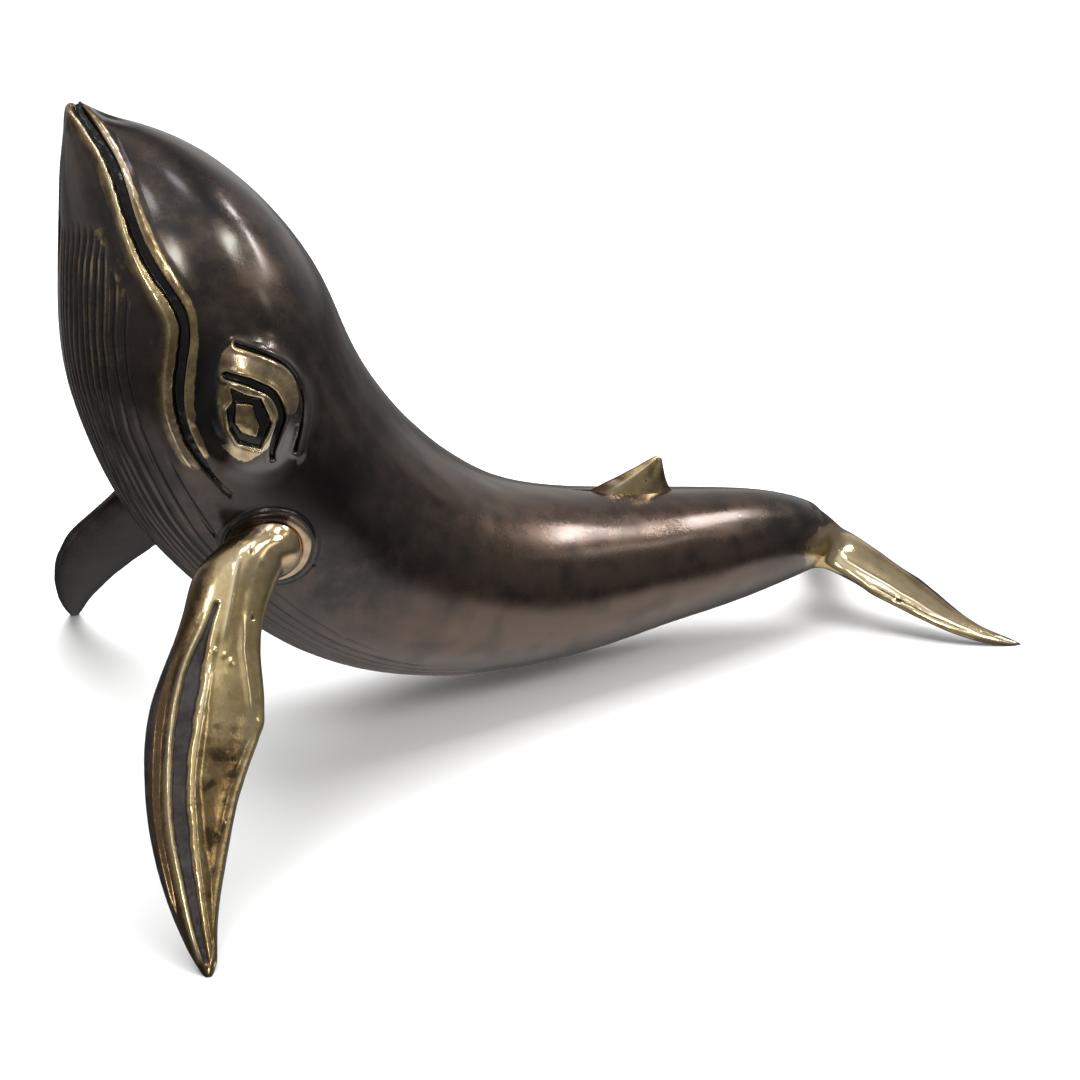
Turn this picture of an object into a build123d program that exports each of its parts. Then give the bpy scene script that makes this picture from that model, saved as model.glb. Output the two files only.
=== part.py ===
"""Breaching humpback whale figurine in cast bronze and polished brass.

The whale lies along X with its raised head at -X, its tail at +X and its
left side at -Y. It stands on the tips of its two pectoral fins and of its
two tail flukes, at Z = 0. All sizes are millimetres.
"""

import os

from build123d import *

# Body: overall scale and the thickness of the two hollow half castings.
half_turn = 180
body_length = 300.0
wall = 3.0
fit_gap = 0.05

# Mouth, throat pleats and eyes, carved in the skin.
mouth_width = 1.8
mouth_depth = 1.5
lip_width = 3.0
lip_rise = 0.8
pleat_width = 0.9
pleat_depth = 0.8
eye_dome_radius = 24.0
eye_dome_rise = 2.6
eye_line_depth = 1.1
eye_line_width = 1.7
eye_crease_width = 0.9

# Roots of the pectoral fins: stub, brazed collar, raised boss, tenon and pin.
stub_radius = 9.0
collar_width = 2.7
collar_rise = 1.1
boss_width = 2.4
boss_rise = 0.6
seat_depth = 1.2
tenon_radius = 5.5
tenon_reach = 9.0
pin_radius = 1.25
pin_length = 17.0
pin_stand = 1.0

# Tail spigot and its cross pin, dorsal pegs, seam dowels and the vent.
spigot_radius = 6.0
spigot_length = 17.0
tail_pin_radius = 1.25
peg_radius = 1.4
peg_length = 7.0
dowel_radius = 0.8
dowel_length = 8.0
vent_radius = 1.5

# Stations along the body from the snout to the tail, as shares of
# body_length: top x and z, bottom x and z, and half the width.
body_shares = [
    (-0.4705, 0.6325, -0.4790, 0.6290, 0.0045),
    (-0.4660, 0.6290, -0.4830, 0.6225, 0.0100),
    (-0.4267, 0.6140, -0.4933, 0.5867, 0.0317),
    (-0.3733, 0.5887, -0.5007, 0.5367, 0.0650),
    (-0.3200, 0.5417, -0.5093, 0.4733, 0.1000),
    (-0.2767, 0.4783, -0.5120, 0.4050, 0.1217),
    (-0.2533, 0.4200, -0.4993, 0.3333, 0.1317),
    (-0.2300, 0.3717, -0.4683, 0.2517, 0.1333),
    (-0.1983, 0.3267, -0.4050, 0.1640, 0.1283),
    (-0.1583, 0.2850, -0.3117, 0.0825, 0.1233),
    (-0.1117, 0.2493, -0.2000, 0.0350, 0.1150),
    (-0.0533, 0.2227, -0.0867, 0.0197, 0.1033),
    (0.0200, 0.2050, 0.0067, 0.0208, 0.0917),
    (0.1000, 0.1923, 0.0950, 0.0295, 0.0800),
    (0.1833, 0.1810, 0.1800, 0.0375, 0.0667),
    (0.2600, 0.1667, 0.2550, 0.0467, 0.0517),
    (0.3233, 0.1427, 0.3133, 0.0573, 0.0367),
    (0.3633, 0.1120, 0.3533, 0.0630, 0.0230),
    (0.3867, 0.0890, 0.3830, 0.0655, 0.0125),
]
hollow_first = 2
hollow_last = 15
tail_joint = 16
eye_station = 6
vent_station = 12
dowel_stations = (4, 7, 10, 14)

# Side view of the mouth line from the snout to its corner, then the angle
# round the body and the first and last station of each throat pleat.
mouth_shares = [
    (-0.4747, 0.6300),
    (-0.4633, 0.5907),
    (-0.4553, 0.5557),
    (-0.4443, 0.5123),
    (-0.4287, 0.4790),
    (-0.4240, 0.4580),
    (-0.4290, 0.4350),
    (-0.4373, 0.4080),
    (-0.4383, 0.3757),
    (-0.4333, 0.3587),
    (-0.4180, 0.3337),
]
pleat_lines = [
    (164, 4, 10),
    (159, 4, 10),
    (153, 4, 10),
    (148, 4, 10),
    (143, 4, 10),
    (138, 4, 10),
    (132, 5, 7),
    (127, 5, 7),
    (122, 6, 7),
]

# Eye carving in the side view, from the eye's centre, as shares of the dome,
# and half the width of the ring's line as a share of its own size.
ring_half_share = 0.15
ring_shares = [(-0.15, 0.31), (0.17, 0.21), (0.27, -0.07), (0.17, -0.34), (-0.10, -0.25), (-0.22, 0.05)]
lid_shares = [(-0.19, 0.49), (0.09, 0.41), (0.27, 0.29), (0.38, 0.11), (0.37, -0.12), (0.32, -0.46)]
crease_shares = [(-0.10, 0.84), (0.18, 0.74), (0.52, 0.53), (0.67, 0.23), (0.70, -0.07), (0.60, -0.39)]

# Pectoral fin, left: root and tip as shares of body_length, the direction in
# which the stub leaves the body, and the twist that drops the leading edge.
fin_root_shares = (-0.3667, -0.1167, 0.2500)
fin_tip_shares = (-0.5000, -0.3713, 0.0)
fin_root_direction = (-0.30, -0.92, -0.26)
fin_twist = -10.0
# Sections from the root to the tip, as shares of the fin's span: place along
# it, leading edge, trailing edge, rise, thickness, and the share by which the
# section faces along the stub and takes the stub's round size.
fin_shares = [
    (-0.060, -0.105, 0.061, -0.052, 0.150, 1.00),
    (0.018, -0.105, 0.061, 0.000, 0.150, 0.85),
    (0.105, -0.166, 0.035, 0.014, 0.115, 0.45),
    (0.210, -0.180, 0.010, 0.014, 0.085, 0.15),
    (0.332, -0.193, 0.024, 0.008, 0.074, 0.00),
    (0.455, -0.212, 0.041, 0.004, 0.066, 0.00),
    (0.577, -0.206, 0.019, 0.000, 0.061, 0.00),
    (0.700, -0.180, 0.005, 0.000, 0.052, 0.00),
    (0.814, -0.137, 0.000, 0.000, 0.044, 0.00),
    (0.910, -0.087, 0.003, 0.000, 0.037, 0.00),
    (0.971, -0.045, 0.009, 0.000, 0.030, 0.00),
    (1.010, -0.009, 0.005, 0.000, 0.018, 0.00),
]
# The dark channel in the fin's outer face: place along the span, middle of
# the channel across it, and half its width.
fin_channel_shares = [
    (0.210, -0.116, 0.004),
    (0.339, -0.135, 0.014),
    (0.430, -0.139, 0.018),
    (0.611, -0.130, 0.016),
    (0.777, -0.090, 0.014),
    (0.934, -0.034, 0.009),
    (0.975, -0.015, 0.004),
]
fin_channel_depth = 1.0

# Tail flukes, left blade, as shares of body_length: distance out from the
# middle, leading edge x, trailing edge x, height and thickness.
fluke_shares = [
    (0.0000, 0.3070, 0.3960, 0.0840, 0.0360),
    (0.0200, 0.3120, 0.4080, 0.0775, 0.0340),
    (0.0433, 0.3283, 0.4213, 0.0667, 0.0280),
    (0.0700, 0.3500, 0.4320, 0.0543, 0.0235),
    (0.1000, 0.3753, 0.4427, 0.0405, 0.0200),
    (0.1300, 0.4007, 0.4533, 0.0267, 0.0165),
    (0.1567, 0.4287, 0.4673, 0.0145, 0.0135),
    (0.1767, 0.4583, 0.4880, 0.0055, 0.0105),
    (0.1900, 0.4880, 0.5020, -0.0005, 0.0060),
]

# Dorsal fin, from its base inside the back to its tip, as shares of
# body_length: front x and z, rear x and z, and width.
dorsal_shares = [
    (0.0200, 0.2033, 0.1333, 0.1817, 0.0267),
    (0.0400, 0.2100, 0.1240, 0.1920, 0.0220),
    (0.0667, 0.2187, 0.1180, 0.2050, 0.0173),
    (0.0900, 0.2273, 0.1147, 0.2183, 0.0120),
    (0.1040, 0.2325, 0.1125, 0.2287, 0.0060),
]


def scaled(shares):
    """A point or a list of numbers, from shares of the body's length."""
    return tuple(body_length * share for share in shares)


def body_plane(index, grow=0.0):
    """The plane of one body station, with X from belly to back."""
    top_x, top_z, low_x, low_z, _ = scaled(body_shares[index])
    across = Vector(top_x - low_x, 0, top_z - low_z).normalized()
    forward = across.cross(Vector(0, 1, 0))
    centre = Vector((top_x + low_x) / 2, 0, (top_z + low_z) / 2)
    if index == 0:
        centre += forward * grow
    if index == len(body_shares) - 1:
        centre -= forward * grow
    return Plane(origin=centre, x_dir=across, z_dir=forward)


def body_radii(index):
    """Half height and half width of one body station."""
    top_x, top_z, low_x, low_z, half_width = scaled(body_shares[index])
    return Vector(top_x - low_x, 0, top_z - low_z).length / 2, half_width


def body_point(index, angle):
    """A point of the skin at a station, 0 at the back and 90 at the left."""
    half_height, half_width = body_radii(index)
    around = Vector(half_height, 0).rotate(Axis.Z, angle)
    side = around.Y / half_height * half_width
    plane = body_plane(index)
    return plane.origin + plane.x_dir * around.X - Vector(0, side, 0)


def oval(half_length, half_width):
    """An oval outline of two arcs that meet on its long axis."""
    with BuildLine() as outline:
        EllipticalCenterArc((0, 0), half_length, half_width, start_angle=0, arc_size=half_turn)
        EllipticalCenterArc((0, 0), half_length, half_width, start_angle=half_turn, arc_size=half_turn)
    make_face(outline.edges())


def body_form(grow, first=0, last=len(body_shares) - 1):
    """The whale's body without fins, with its skin moved out by grow."""
    with BuildPart() as form:
        for index in range(first, last + 1):
            half_height, half_width = body_radii(index)
            with BuildSketch(body_plane(index, grow)):
                oval(half_height + grow, half_width + grow)
        loft()
    return form.part


def side_cutter(outlines, reach):
    """Narrow bands drawn in the side view and carried out to the left."""
    with BuildPart() as bands:
        for points, width in outlines:
            with BuildSketch(Plane.XZ):
                with BuildLine():
                    Spline(*points)
                trace(line_width=width)
        extrude(amount=reach)
    return bands.part


# The body's forms, shared by all the pieces that seat on it.
skin = body_form(0)
hollow = body_form(-wall, hollow_first, hollow_last)
seat = body_form(-seat_depth, 1)
mouth_floor = body_form(-mouth_depth, 1)
pleat_floor = body_form(-pleat_depth, 1)
lip_form = body_form(lip_rise)
boss_form = body_form(boss_rise)
collar_form = body_form(collar_rise)
half_breadth = max(radii[4] for radii in body_shares) * body_length + wall
joint_plane = body_plane(tail_joint)

# Left pectoral fin's own axes: along the span, along the chord and out of
# its upper face.
fin_root = Vector(*scaled(fin_root_shares))
fin_tip = Vector(*scaled(fin_tip_shares))
fin_span = (fin_tip - fin_root).length
span_dir = (fin_tip - fin_root).normalized()
flat_chord = (Vector(1, 0, 0) - span_dir * span_dir.X).normalized()
chord_dir = flat_chord.rotate(Axis((0, 0, 0), span_dir), fin_twist)
face_dir = span_dir.cross(chord_dir)
stub_dir = Vector(*fin_root_direction).normalized()
root_plane = Plane(origin=fin_root, x_dir=flat_chord.cross(stub_dir), z_dir=stub_dir)
collar_inner = stub_radius + fit_gap
collar_outer = collar_inner + collar_width
boss_outer = collar_outer + boss_width
pin_plane = root_plane.offset(-wall - pin_stand - pin_radius)


def root_post(radius, start, end):
    """A round post along the fin's stub, between two heights over the skin."""
    with BuildPart() as post:
        with Locations(root_plane.offset(start)):
            Cylinder(radius, end - start, align=(Align.CENTER, Align.CENTER, Align.MIN))
    return post.part


def cross_pin(plane, radius, length):
    """A round pin centred on a plane and lying along the plane's Y."""
    with BuildPart() as pin:
        with Locations(plane):
            Cylinder(radius, length, rotation=(90, 0, 0))
    return pin.part


def fin_plane(row):
    """Plane of one fin section, with X from leading to trailing edge."""
    along, lead, trail, rise, _, turn = row
    middle = span_dir * along + chord_dir * ((lead + trail) / 2) + face_dir * rise
    facing = (span_dir * (1 - turn) + stub_dir * turn).normalized()
    chord = (chord_dir - facing * chord_dir.dot(facing)).normalized()
    return Plane(origin=fin_root + middle * fin_span, x_dir=chord, z_dir=facing)


def fin_halves(row):
    """Half the width and half the thickness of one fin section."""
    _, lead, trail, _, thickness, turn = row
    blade = ((trail - lead) / 2 * fin_span, thickness / 2 * fin_span)
    return [half * (1 - turn) + stub_radius * turn for half in blade]


def fin_top(along):
    """Height of the fin's upper face over its chord line, as a share."""
    for near, far in zip(fin_shares, fin_shares[1:]):
        if near[0] <= along <= far[0]:
            part = (along - near[0]) / (far[0] - near[0])
            rise = near[3] + part * (far[3] - near[3])
            return rise + (near[4] + part * (far[4] - near[4])) / 2
    return 0.0


def channel_plane(row):
    """Plane of one section of the channel in the fin's upper face."""
    middle = span_dir * row[0] + chord_dir * row[1] + face_dir * fin_top(row[0])
    return Plane(origin=fin_root + middle * fin_span, x_dir=chord_dir, z_dir=span_dir)


def fluke_plane(row):
    """Plane of one fluke section, with X from leading to trailing edge."""
    out, lead, trail, height, _ = scaled(row)
    return Plane(origin=((lead + trail) / 2, -out, height), x_dir=(1, 0, 0), z_dir=(0, -1, 0))


def dorsal_plane(row):
    """Plane of one dorsal fin section, with X from front to rear."""
    front_x, front_z, rear_x, rear_z, _ = scaled(row)
    back = Vector(rear_x - front_x, 0, rear_z - front_z).normalized()
    middle = Vector((front_x + rear_x) / 2, 0, (front_z + rear_z) / 2)
    return Plane(origin=middle, x_dir=back, z_dir=back.cross(Vector(0, 1, 0)))


# The post that clears a pocket for the collar, and the tenon's own post.
pocket_post = root_post(collar_outer + fit_gap, -boss_outer, boss_outer)
tenon_hole = root_post(tenon_radius + fit_gap, -tenon_reach, boss_outer)

# Left pectoral fin: solid, with a tenon that goes through the body's wall.
with BuildPart() as left_pectoral_fin:
    for row in fin_shares:
        with BuildSketch(fin_plane(row)):
            oval(*fin_halves(row))
    loft()
    for row in fin_channel_shares:
        with BuildSketch(channel_plane(row)):
            oval(row[2] * fin_span, fin_channel_depth)
    loft(mode=Mode.SUBTRACT)
    add(seat, mode=Mode.SUBTRACT)
    add(boss_form - pocket_post, mode=Mode.SUBTRACT)
    split(bisect_by=Plane.XY, keep=Keep.TOP)
    add(root_post(tenon_radius, -tenon_reach, 0))
    add(cross_pin(pin_plane, pin_radius + fit_gap, pin_length), mode=Mode.SUBTRACT)

# Left fin collar: a brazed brass ring that covers the joint round the stub.
with BuildPart() as left_fin_collar:
    add(root_post(collar_outer, -boss_outer, boss_outer))
    add(root_post(collar_inner, -boss_outer, boss_outer), mode=Mode.SUBTRACT)
    add(collar_form, mode=Mode.INTERSECT)
    add(seat, mode=Mode.SUBTRACT)
    add(left_pectoral_fin.part, mode=Mode.SUBTRACT)

# Left tenon pin: driven across the fin's tenon inside the hollow body.
with BuildPart() as left_tenon_pin:
    add(cross_pin(pin_plane, pin_radius, pin_length))

# Dorsal fin: seats on the back, with two pegs that go through the wall.
peg_plane = dorsal_plane(dorsal_shares[1])
peg_step = body_length * (dorsal_shares[1][2] - dorsal_shares[1][0]) / 4
with BuildPart() as pegs:
    with Locations(peg_plane):
        with Locations((-peg_step, 0), (peg_step, 0)):
            Cylinder(peg_radius, peg_length, align=(Align.CENTER, Align.CENTER, Align.MAX))
with BuildPart() as peg_holes:
    with Locations(peg_plane):
        with Locations((-peg_step, 0), (peg_step, 0)):
            Cylinder(peg_radius + fit_gap, 2 * peg_length)
with BuildPart() as dorsal_fin:
    for row in dorsal_shares:
        front_x, front_z, rear_x, rear_z, width = scaled(row)
        with BuildSketch(dorsal_plane(row)):
            oval(Vector(rear_x - front_x, 0, rear_z - front_z).length / 2, width / 2)
    loft()
    add(skin, mode=Mode.SUBTRACT)
    add(pegs.part)

# Tail flukes: both blades and the end of the tail in one casting, with a
# spigot that goes into the body and a hole for its cross pin.
tail_pin_plane = joint_plane.offset(spigot_length / 2)
with BuildPart() as tail_flukes:
    for row in fluke_shares:
        out, lead, trail, height, thickness = scaled(row)
        with BuildSketch(fluke_plane(row)):
            oval((trail - lead) / 2, thickness / 2)
    loft()
    mirror(about=Plane.XZ)
    add(skin)
    split(bisect_by=joint_plane, keep=Keep.BOTTOM)
    split(bisect_by=Plane.XY, keep=Keep.TOP)
    with Locations(joint_plane):
        Cylinder(spigot_radius, spigot_length, align=(Align.CENTER, Align.CENTER, Align.MIN))
    add(cross_pin(tail_pin_plane, tail_pin_radius + fit_gap, 2 * half_breadth), mode=Mode.SUBTRACT)

# Tail pin: locks the spigot and is filed flush with the skin.
with BuildPart() as tail_pin:
    add(cross_pin(tail_pin_plane, tail_pin_radius, 2 * half_breadth))
    add(skin, mode=Mode.INTERSECT)

# Seam dowels: short pins in the wall that line up the two halves.
dowel_places = []
for station in dowel_stations:
    for side in (-1, 1):
        plane = body_plane(station)
        reach = (body_radii(station)[0] - wall / 2) * side
        dowel_places.append(Plane(plane.origin + plane.x_dir * reach, plane.x_dir, plane.z_dir))
with BuildPart() as seam_dowels:
    for place in dowel_places:
        add(cross_pin(place, dowel_radius, dowel_length))
with BuildPart() as dowel_holes:
    for place in dowel_places:
        add(cross_pin(place, dowel_radius + fit_gap, dowel_length + 2 * fit_gap))

# Eye: a low swelling of the skin, with the lines carved round the pupil.
eye_origin = body_point(eye_station, 90)
dome_centre = eye_origin + Vector(0, eye_dome_radius - eye_dome_rise, 0)
with BuildPart() as eye_dome:
    with Locations(dome_centre):
        Sphere(eye_dome_radius)
with BuildPart() as eye_core:
    with Locations(dome_centre):
        Sphere(eye_dome_radius - eye_line_depth)


def eye_points(shares):
    """Side view points of one carved line of the eye."""
    return [(eye_origin.X + x * eye_dome_radius, eye_origin.Z + z * eye_dome_radius) for x, z in shares]


with BuildPart() as eye_lines:
    with BuildSketch(Plane.XZ):
        for grow, mode in ((1 + ring_half_share, Mode.ADD), (1 - ring_half_share, Mode.SUBTRACT)):
            with BuildLine() as outline:
                Spline(*eye_points([(x * grow, z * grow) for x, z in ring_shares]), periodic=True)
            make_face(outline.edges(), mode=mode)
    extrude(amount=half_breadth)
    add(side_cutter([(eye_points(lid_shares), eye_line_width)], half_breadth))
    add(side_cutter([(eye_points(crease_shares), eye_crease_width)], half_breadth))
    add(eye_core.part, mode=Mode.SUBTRACT)
    add(pleat_floor, mode=Mode.SUBTRACT)

# Mouth line, lips and throat pleats, drawn in the side view.
mouth_points = [scaled(point) for point in mouth_shares]
mouth_groove = side_cutter([(mouth_points, mouth_width)], half_breadth)
lip_band = side_cutter([(mouth_points, mouth_width + 2 * lip_width)], half_breadth)
pleat_outlines = []
for angle, first, last in pleat_lines:
    line = [body_point(station, angle) for station in range(first, last + 1)]
    slope = Vector(1, 0).rotate(Axis.Z, angle).Y
    pleat_outlines.append(([(point.X, point.Z) for point in line], pleat_width * slope))
pleats = side_cutter(pleat_outlines, half_breadth)

# Left half of the hollow body casting.
vent_plane = body_plane(vent_station)
vent_mouth = vent_plane.origin - vent_plane.x_dir * body_radii(vent_station)[0]
with BuildPart() as left_body_shell:
    add(skin)
    split(bisect_by=joint_plane, keep=Keep.TOP)
    split(bisect_by=Plane.XZ, keep=Keep.TOP)
    add(hollow, mode=Mode.SUBTRACT)
    # Throat pleats, then the skin's raised lips, eye and boss.
    add(pleats - pleat_floor, mode=Mode.SUBTRACT)
    add((lip_band & lip_form) - seat)
    add(eye_dome.part - seat)
    add((root_post(boss_outer, -boss_outer, boss_outer) & boss_form) - seat)
    split(bisect_by=Plane.XZ, keep=Keep.TOP)
    # Carved mouth line and eye.
    add(mouth_groove - mouth_floor, mode=Mode.SUBTRACT)
    add(eye_lines.part, mode=Mode.SUBTRACT)
    # Seats and holes for the fins, the dowels, the tail and the vent.
    add(pocket_post - seat, mode=Mode.SUBTRACT)
    add(tenon_hole, mode=Mode.SUBTRACT)
    add(peg_holes.part, mode=Mode.SUBTRACT)
    add(dowel_holes.part, mode=Mode.SUBTRACT)
    with Locations(joint_plane):
        Cylinder(
            spigot_radius + fit_gap,
            spigot_length + wall,
            align=(Align.CENTER, Align.CENTER, Align.MIN),
            mode=Mode.SUBTRACT,
        )
    add(cross_pin(tail_pin_plane, tail_pin_radius + fit_gap, 2 * half_breadth), mode=Mode.SUBTRACT)
    with Locations(vent_mouth):
        Cylinder(vent_radius, 3 * wall, mode=Mode.SUBTRACT)

# The whale's right side mirrors its left.
with BuildPart() as right_body_shell:
    mirror(left_body_shell.part, about=Plane.XZ)
with BuildPart() as right_pectoral_fin:
    mirror(left_pectoral_fin.part, about=Plane.XZ)
with BuildPart() as right_fin_collar:
    mirror(left_fin_collar.part, about=Plane.XZ)
with BuildPart() as right_tenon_pin:
    mirror(left_tenon_pin.part, about=Plane.XZ)

pieces = {
    "left_body_shell": left_body_shell,
    "right_body_shell": right_body_shell,
    "left_pectoral_fin": left_pectoral_fin,
    "right_pectoral_fin": right_pectoral_fin,
    "left_fin_collar": left_fin_collar,
    "right_fin_collar": right_fin_collar,
    "left_tenon_pin": left_tenon_pin,
    "right_tenon_pin": right_tenon_pin,
    "dorsal_fin": dorsal_fin,
    "tail_flukes": tail_flukes,
    "tail_pin": tail_pin,
    "seam_dowels": seam_dowels,
}

# The frame's origin lies on the ground, midway between the two ends.
low_x = min(piece.part.bounding_box().min.X for piece in pieces.values())
high_x = max(piece.part.bounding_box().max.X for piece in pieces.values())
os.makedirs("parts", exist_ok=True)
for name, piece in pieces.items():
    placed = Pos(-(low_x + high_x) / 2, 0, 0) * piece.part
    placed.label = name
    export_step(placed, f"parts/{name}.step")
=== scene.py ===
"""Looks of the breaching whale figurine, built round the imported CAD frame.

Lengths in this script are millimetres in the frame's axes, and every mesh is
written in metres. The figurine's head points to -X and its left side to -Y.
"""
import math

import bmesh
import bpy
import numpy as np
from mathutils import Matrix, Vector


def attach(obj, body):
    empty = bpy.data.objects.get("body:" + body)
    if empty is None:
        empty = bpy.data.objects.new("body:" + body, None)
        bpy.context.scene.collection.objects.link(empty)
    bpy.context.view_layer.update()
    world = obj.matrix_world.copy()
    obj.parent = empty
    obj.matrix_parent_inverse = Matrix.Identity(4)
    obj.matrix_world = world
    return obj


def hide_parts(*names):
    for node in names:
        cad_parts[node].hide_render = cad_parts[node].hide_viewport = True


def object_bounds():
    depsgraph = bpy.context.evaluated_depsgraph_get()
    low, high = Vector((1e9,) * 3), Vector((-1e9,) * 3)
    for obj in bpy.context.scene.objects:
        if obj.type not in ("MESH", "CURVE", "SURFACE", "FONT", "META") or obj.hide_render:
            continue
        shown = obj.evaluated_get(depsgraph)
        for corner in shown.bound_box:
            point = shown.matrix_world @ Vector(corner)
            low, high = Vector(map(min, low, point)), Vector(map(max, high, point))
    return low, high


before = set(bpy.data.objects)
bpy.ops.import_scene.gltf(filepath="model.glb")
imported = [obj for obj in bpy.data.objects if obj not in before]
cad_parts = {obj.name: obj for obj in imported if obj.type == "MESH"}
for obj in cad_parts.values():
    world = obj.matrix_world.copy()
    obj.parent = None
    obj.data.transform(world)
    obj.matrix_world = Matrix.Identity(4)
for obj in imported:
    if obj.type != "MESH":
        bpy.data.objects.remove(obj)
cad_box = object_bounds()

MM = 0.001

# Fineness of the grids, and the angle round the body where the throat begins.
throat_start = 118
back_columns = 85
throat_columns = 87
fin_rows = 300
fin_columns = 190

# The body's length, and how far the frame's origin lies ahead of the drawing's.
body_length = 300.0
frame_shift = 3.334

# Stations along the body, as shares of its length: top x and z, bottom x and
# z, and half the width.
body_shares = np.array([
    (-0.4705, 0.6325, -0.4790, 0.6290, 0.0045),
    (-0.4660, 0.6290, -0.4830, 0.6225, 0.0100),
    (-0.4267, 0.6140, -0.4933, 0.5867, 0.0317),
    (-0.3733, 0.5887, -0.5007, 0.5367, 0.0650),
    (-0.3200, 0.5417, -0.5093, 0.4733, 0.1000),
    (-0.2767, 0.4783, -0.5120, 0.4050, 0.1217),
    (-0.2533, 0.4200, -0.4993, 0.3333, 0.1317),
    (-0.2300, 0.3717, -0.4683, 0.2517, 0.1333),
    (-0.1983, 0.3267, -0.4050, 0.1640, 0.1283),
    (-0.1583, 0.2850, -0.3117, 0.0825, 0.1233),
    (-0.1117, 0.2493, -0.2000, 0.0350, 0.1150),
    (-0.0533, 0.2227, -0.0867, 0.0197, 0.1033),
    (0.0200, 0.2050, 0.0067, 0.0208, 0.0917),
    (0.1000, 0.1923, 0.0950, 0.0295, 0.0800),
    (0.1833, 0.1810, 0.1800, 0.0375, 0.0667),
    (0.2600, 0.1667, 0.2550, 0.0467, 0.0517),
    (0.3233, 0.1427, 0.3133, 0.0573, 0.0367),
    (0.3633, 0.1120, 0.3533, 0.0630, 0.0230),
    (0.3867, 0.0890, 0.3830, 0.0655, 0.0125),
])
last_station = len(body_shares) - 1
tail_joint = 16.0
# Where the tail's polished brass begins: angle round the tail, and x there.
brass_line = ((0, 30, 50, 66, 80, 95, 112, 180), (111, 109, 103, 96, 89.5, 88.5, 91, 94))
# What is painted on the points of the skins, as values from 0 to 1.
mark_names = ("brass", "soot_and_shade", "tarnish", "rose", "painted_highlight", "warm", "grey", "dark")
# Dark and worn places in side view, in mm: middle x and z, half sizes along x and z. The dark ones are partly
# near black patina and partly painted shade.
dark_patches = ((-96.0, 87.0, 21.0, 15.0), (-121.0, 116.0, 7.0, 20.0), (-135.0, 165.0, 5.0, 14.0))
worn_patches = (
    (-136.8, 148.9, 3.2, 8.0), (-130.5, 134.0, 3.0, 6.5), (-139.2, 159.3, 2.6, 5.0),
    (-134.0, 152.5, 2.0, 3.0),
)

# Mouth line: station and angle round the body, from the snout to its corner.
mouth_line = np.array([
    (0.0, 86.0), (1.0, 88.0), (1.8, 92.0), (2.5, 99.0), (3.05, 105.5), (3.6, 107.2), (4.1, 104.0),
    (4.55, 101.2), (4.95, 106.2), (5.4, 113.0), (5.9, 115.9), (6.4, 114.2), (6.85, 110.4),
])
mouth_end = 6.4
groove_half = 1.42
groove_depth = 1.7
# Half width of the groove by its share from the tip, and by station how far the
# lower lip's crest and the upper lip's outer edge lie from the groove's edge.
groove_shares = ((0.0, 0.10, 0.22), (0.80, 1.15, groove_half))
crest_table = ((0.0, 3.1, 4.4, 6.2), (0.5, 0.6, 2.2, 1.7))
upper_lip_table = (
    (0.0, 1.5, 2.4, 3.0, 3.5, 4.1, 4.7, 5.2, 5.7, 6.4),
    (1.3, 1.9, 1.7, 2.2, 2.7, 2.6, 2.2, 2.5, 2.5, 1.8),
)
# Throat pleats: angle round the body at station 4.55, first station, last
# station, strength. The warp draws them together towards the chin.
pleat_table = [
    (114.0, 6.9, 8.2, 0.55), (119.8, 6.2, 9.2, 0.6), (127.5, 4.12, 9.9, 0.75), (133.5, 3.85, 10.3, 0.85),
    (140.0, 3.50, 10.5, 0.95), (144.5, 3.35, 10.6, 0.95), (149.0, 3.28, 10.9, 1.0), (153.0, 3.25, 11.0, 1.0),
    (157.3, 3.20, 11.1, 1.0), (161.5, 3.20, 11.2, 1.0), (165.5, 3.20, 11.3, 1.0), (169.5, 3.20, 11.3, 1.0),
    (173.5, 3.20, 11.4, 1.0),
]
pleat_warp = (
    (3.2, 3.3, 3.44, 3.63, 3.92, 4.55, 5.06, 5.7),
    (1.46, 1.42, 1.33, 1.22, 1.14, 1.0, 0.935, 0.88),
)
pleat_depth = 0.8
pleat_half = 0.6

# Eye, in the side view from its centre, as shares of eye_size: outline of the
# carved ring and of the pupil in it, lid line, crease, and the worn brass.
eye_station = 6.0
eye_angle = 92.0
eye_size = 24.0
eye_depth = 1.35
crease_depth = 1.0
# The swelling that the eye lies on: its middle and its half sizes.
mound_shares = (0.15, 0.16, 0.56, 0.74)
mound_rise = 2.9
ring_shares = [
    (-0.16, 0.37), (0.00, 0.27), (0.14, 0.22), (0.19, 0.08), (0.23, -0.06), (0.17, -0.17),
    (0.10, -0.33), (-0.12, -0.24), (-0.20, -0.08), (-0.21, 0.14), (-0.14, 0.23),
]
pupil_shares = [
    (-0.11, 0.20), (0.05, 0.17), (0.07, 0.06), (0.10, -0.06), (0.06, -0.18), (-0.08, -0.12),
    (-0.14, -0.01),
]
lid_shares = [
    (-0.18, 0.50), (0.01, 0.42), (0.15, 0.34), (0.28, 0.23), (0.35, 0.03), (0.31, -0.11),
    (0.24, -0.30), (0.23, -0.46),
]
crease_shares = [
    (-0.03, 0.80), (0.12, 0.73), (0.38, 0.58), (0.56, 0.40), (0.64, 0.16), (0.62, -0.06),
    (0.50, -0.43),
]
worn_shares = [
    (-0.06, 0.82), (0.22, 0.71), (0.43, 0.54), (0.58, 0.30), (0.55, 0.02), (0.36, -0.13),
    (0.24, -0.27), (0.12, -0.40), (-0.07, -0.51), (-0.29, -0.29), (-0.40, 0.06), (-0.36, 0.36),
    (-0.22, 0.66),
]
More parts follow.
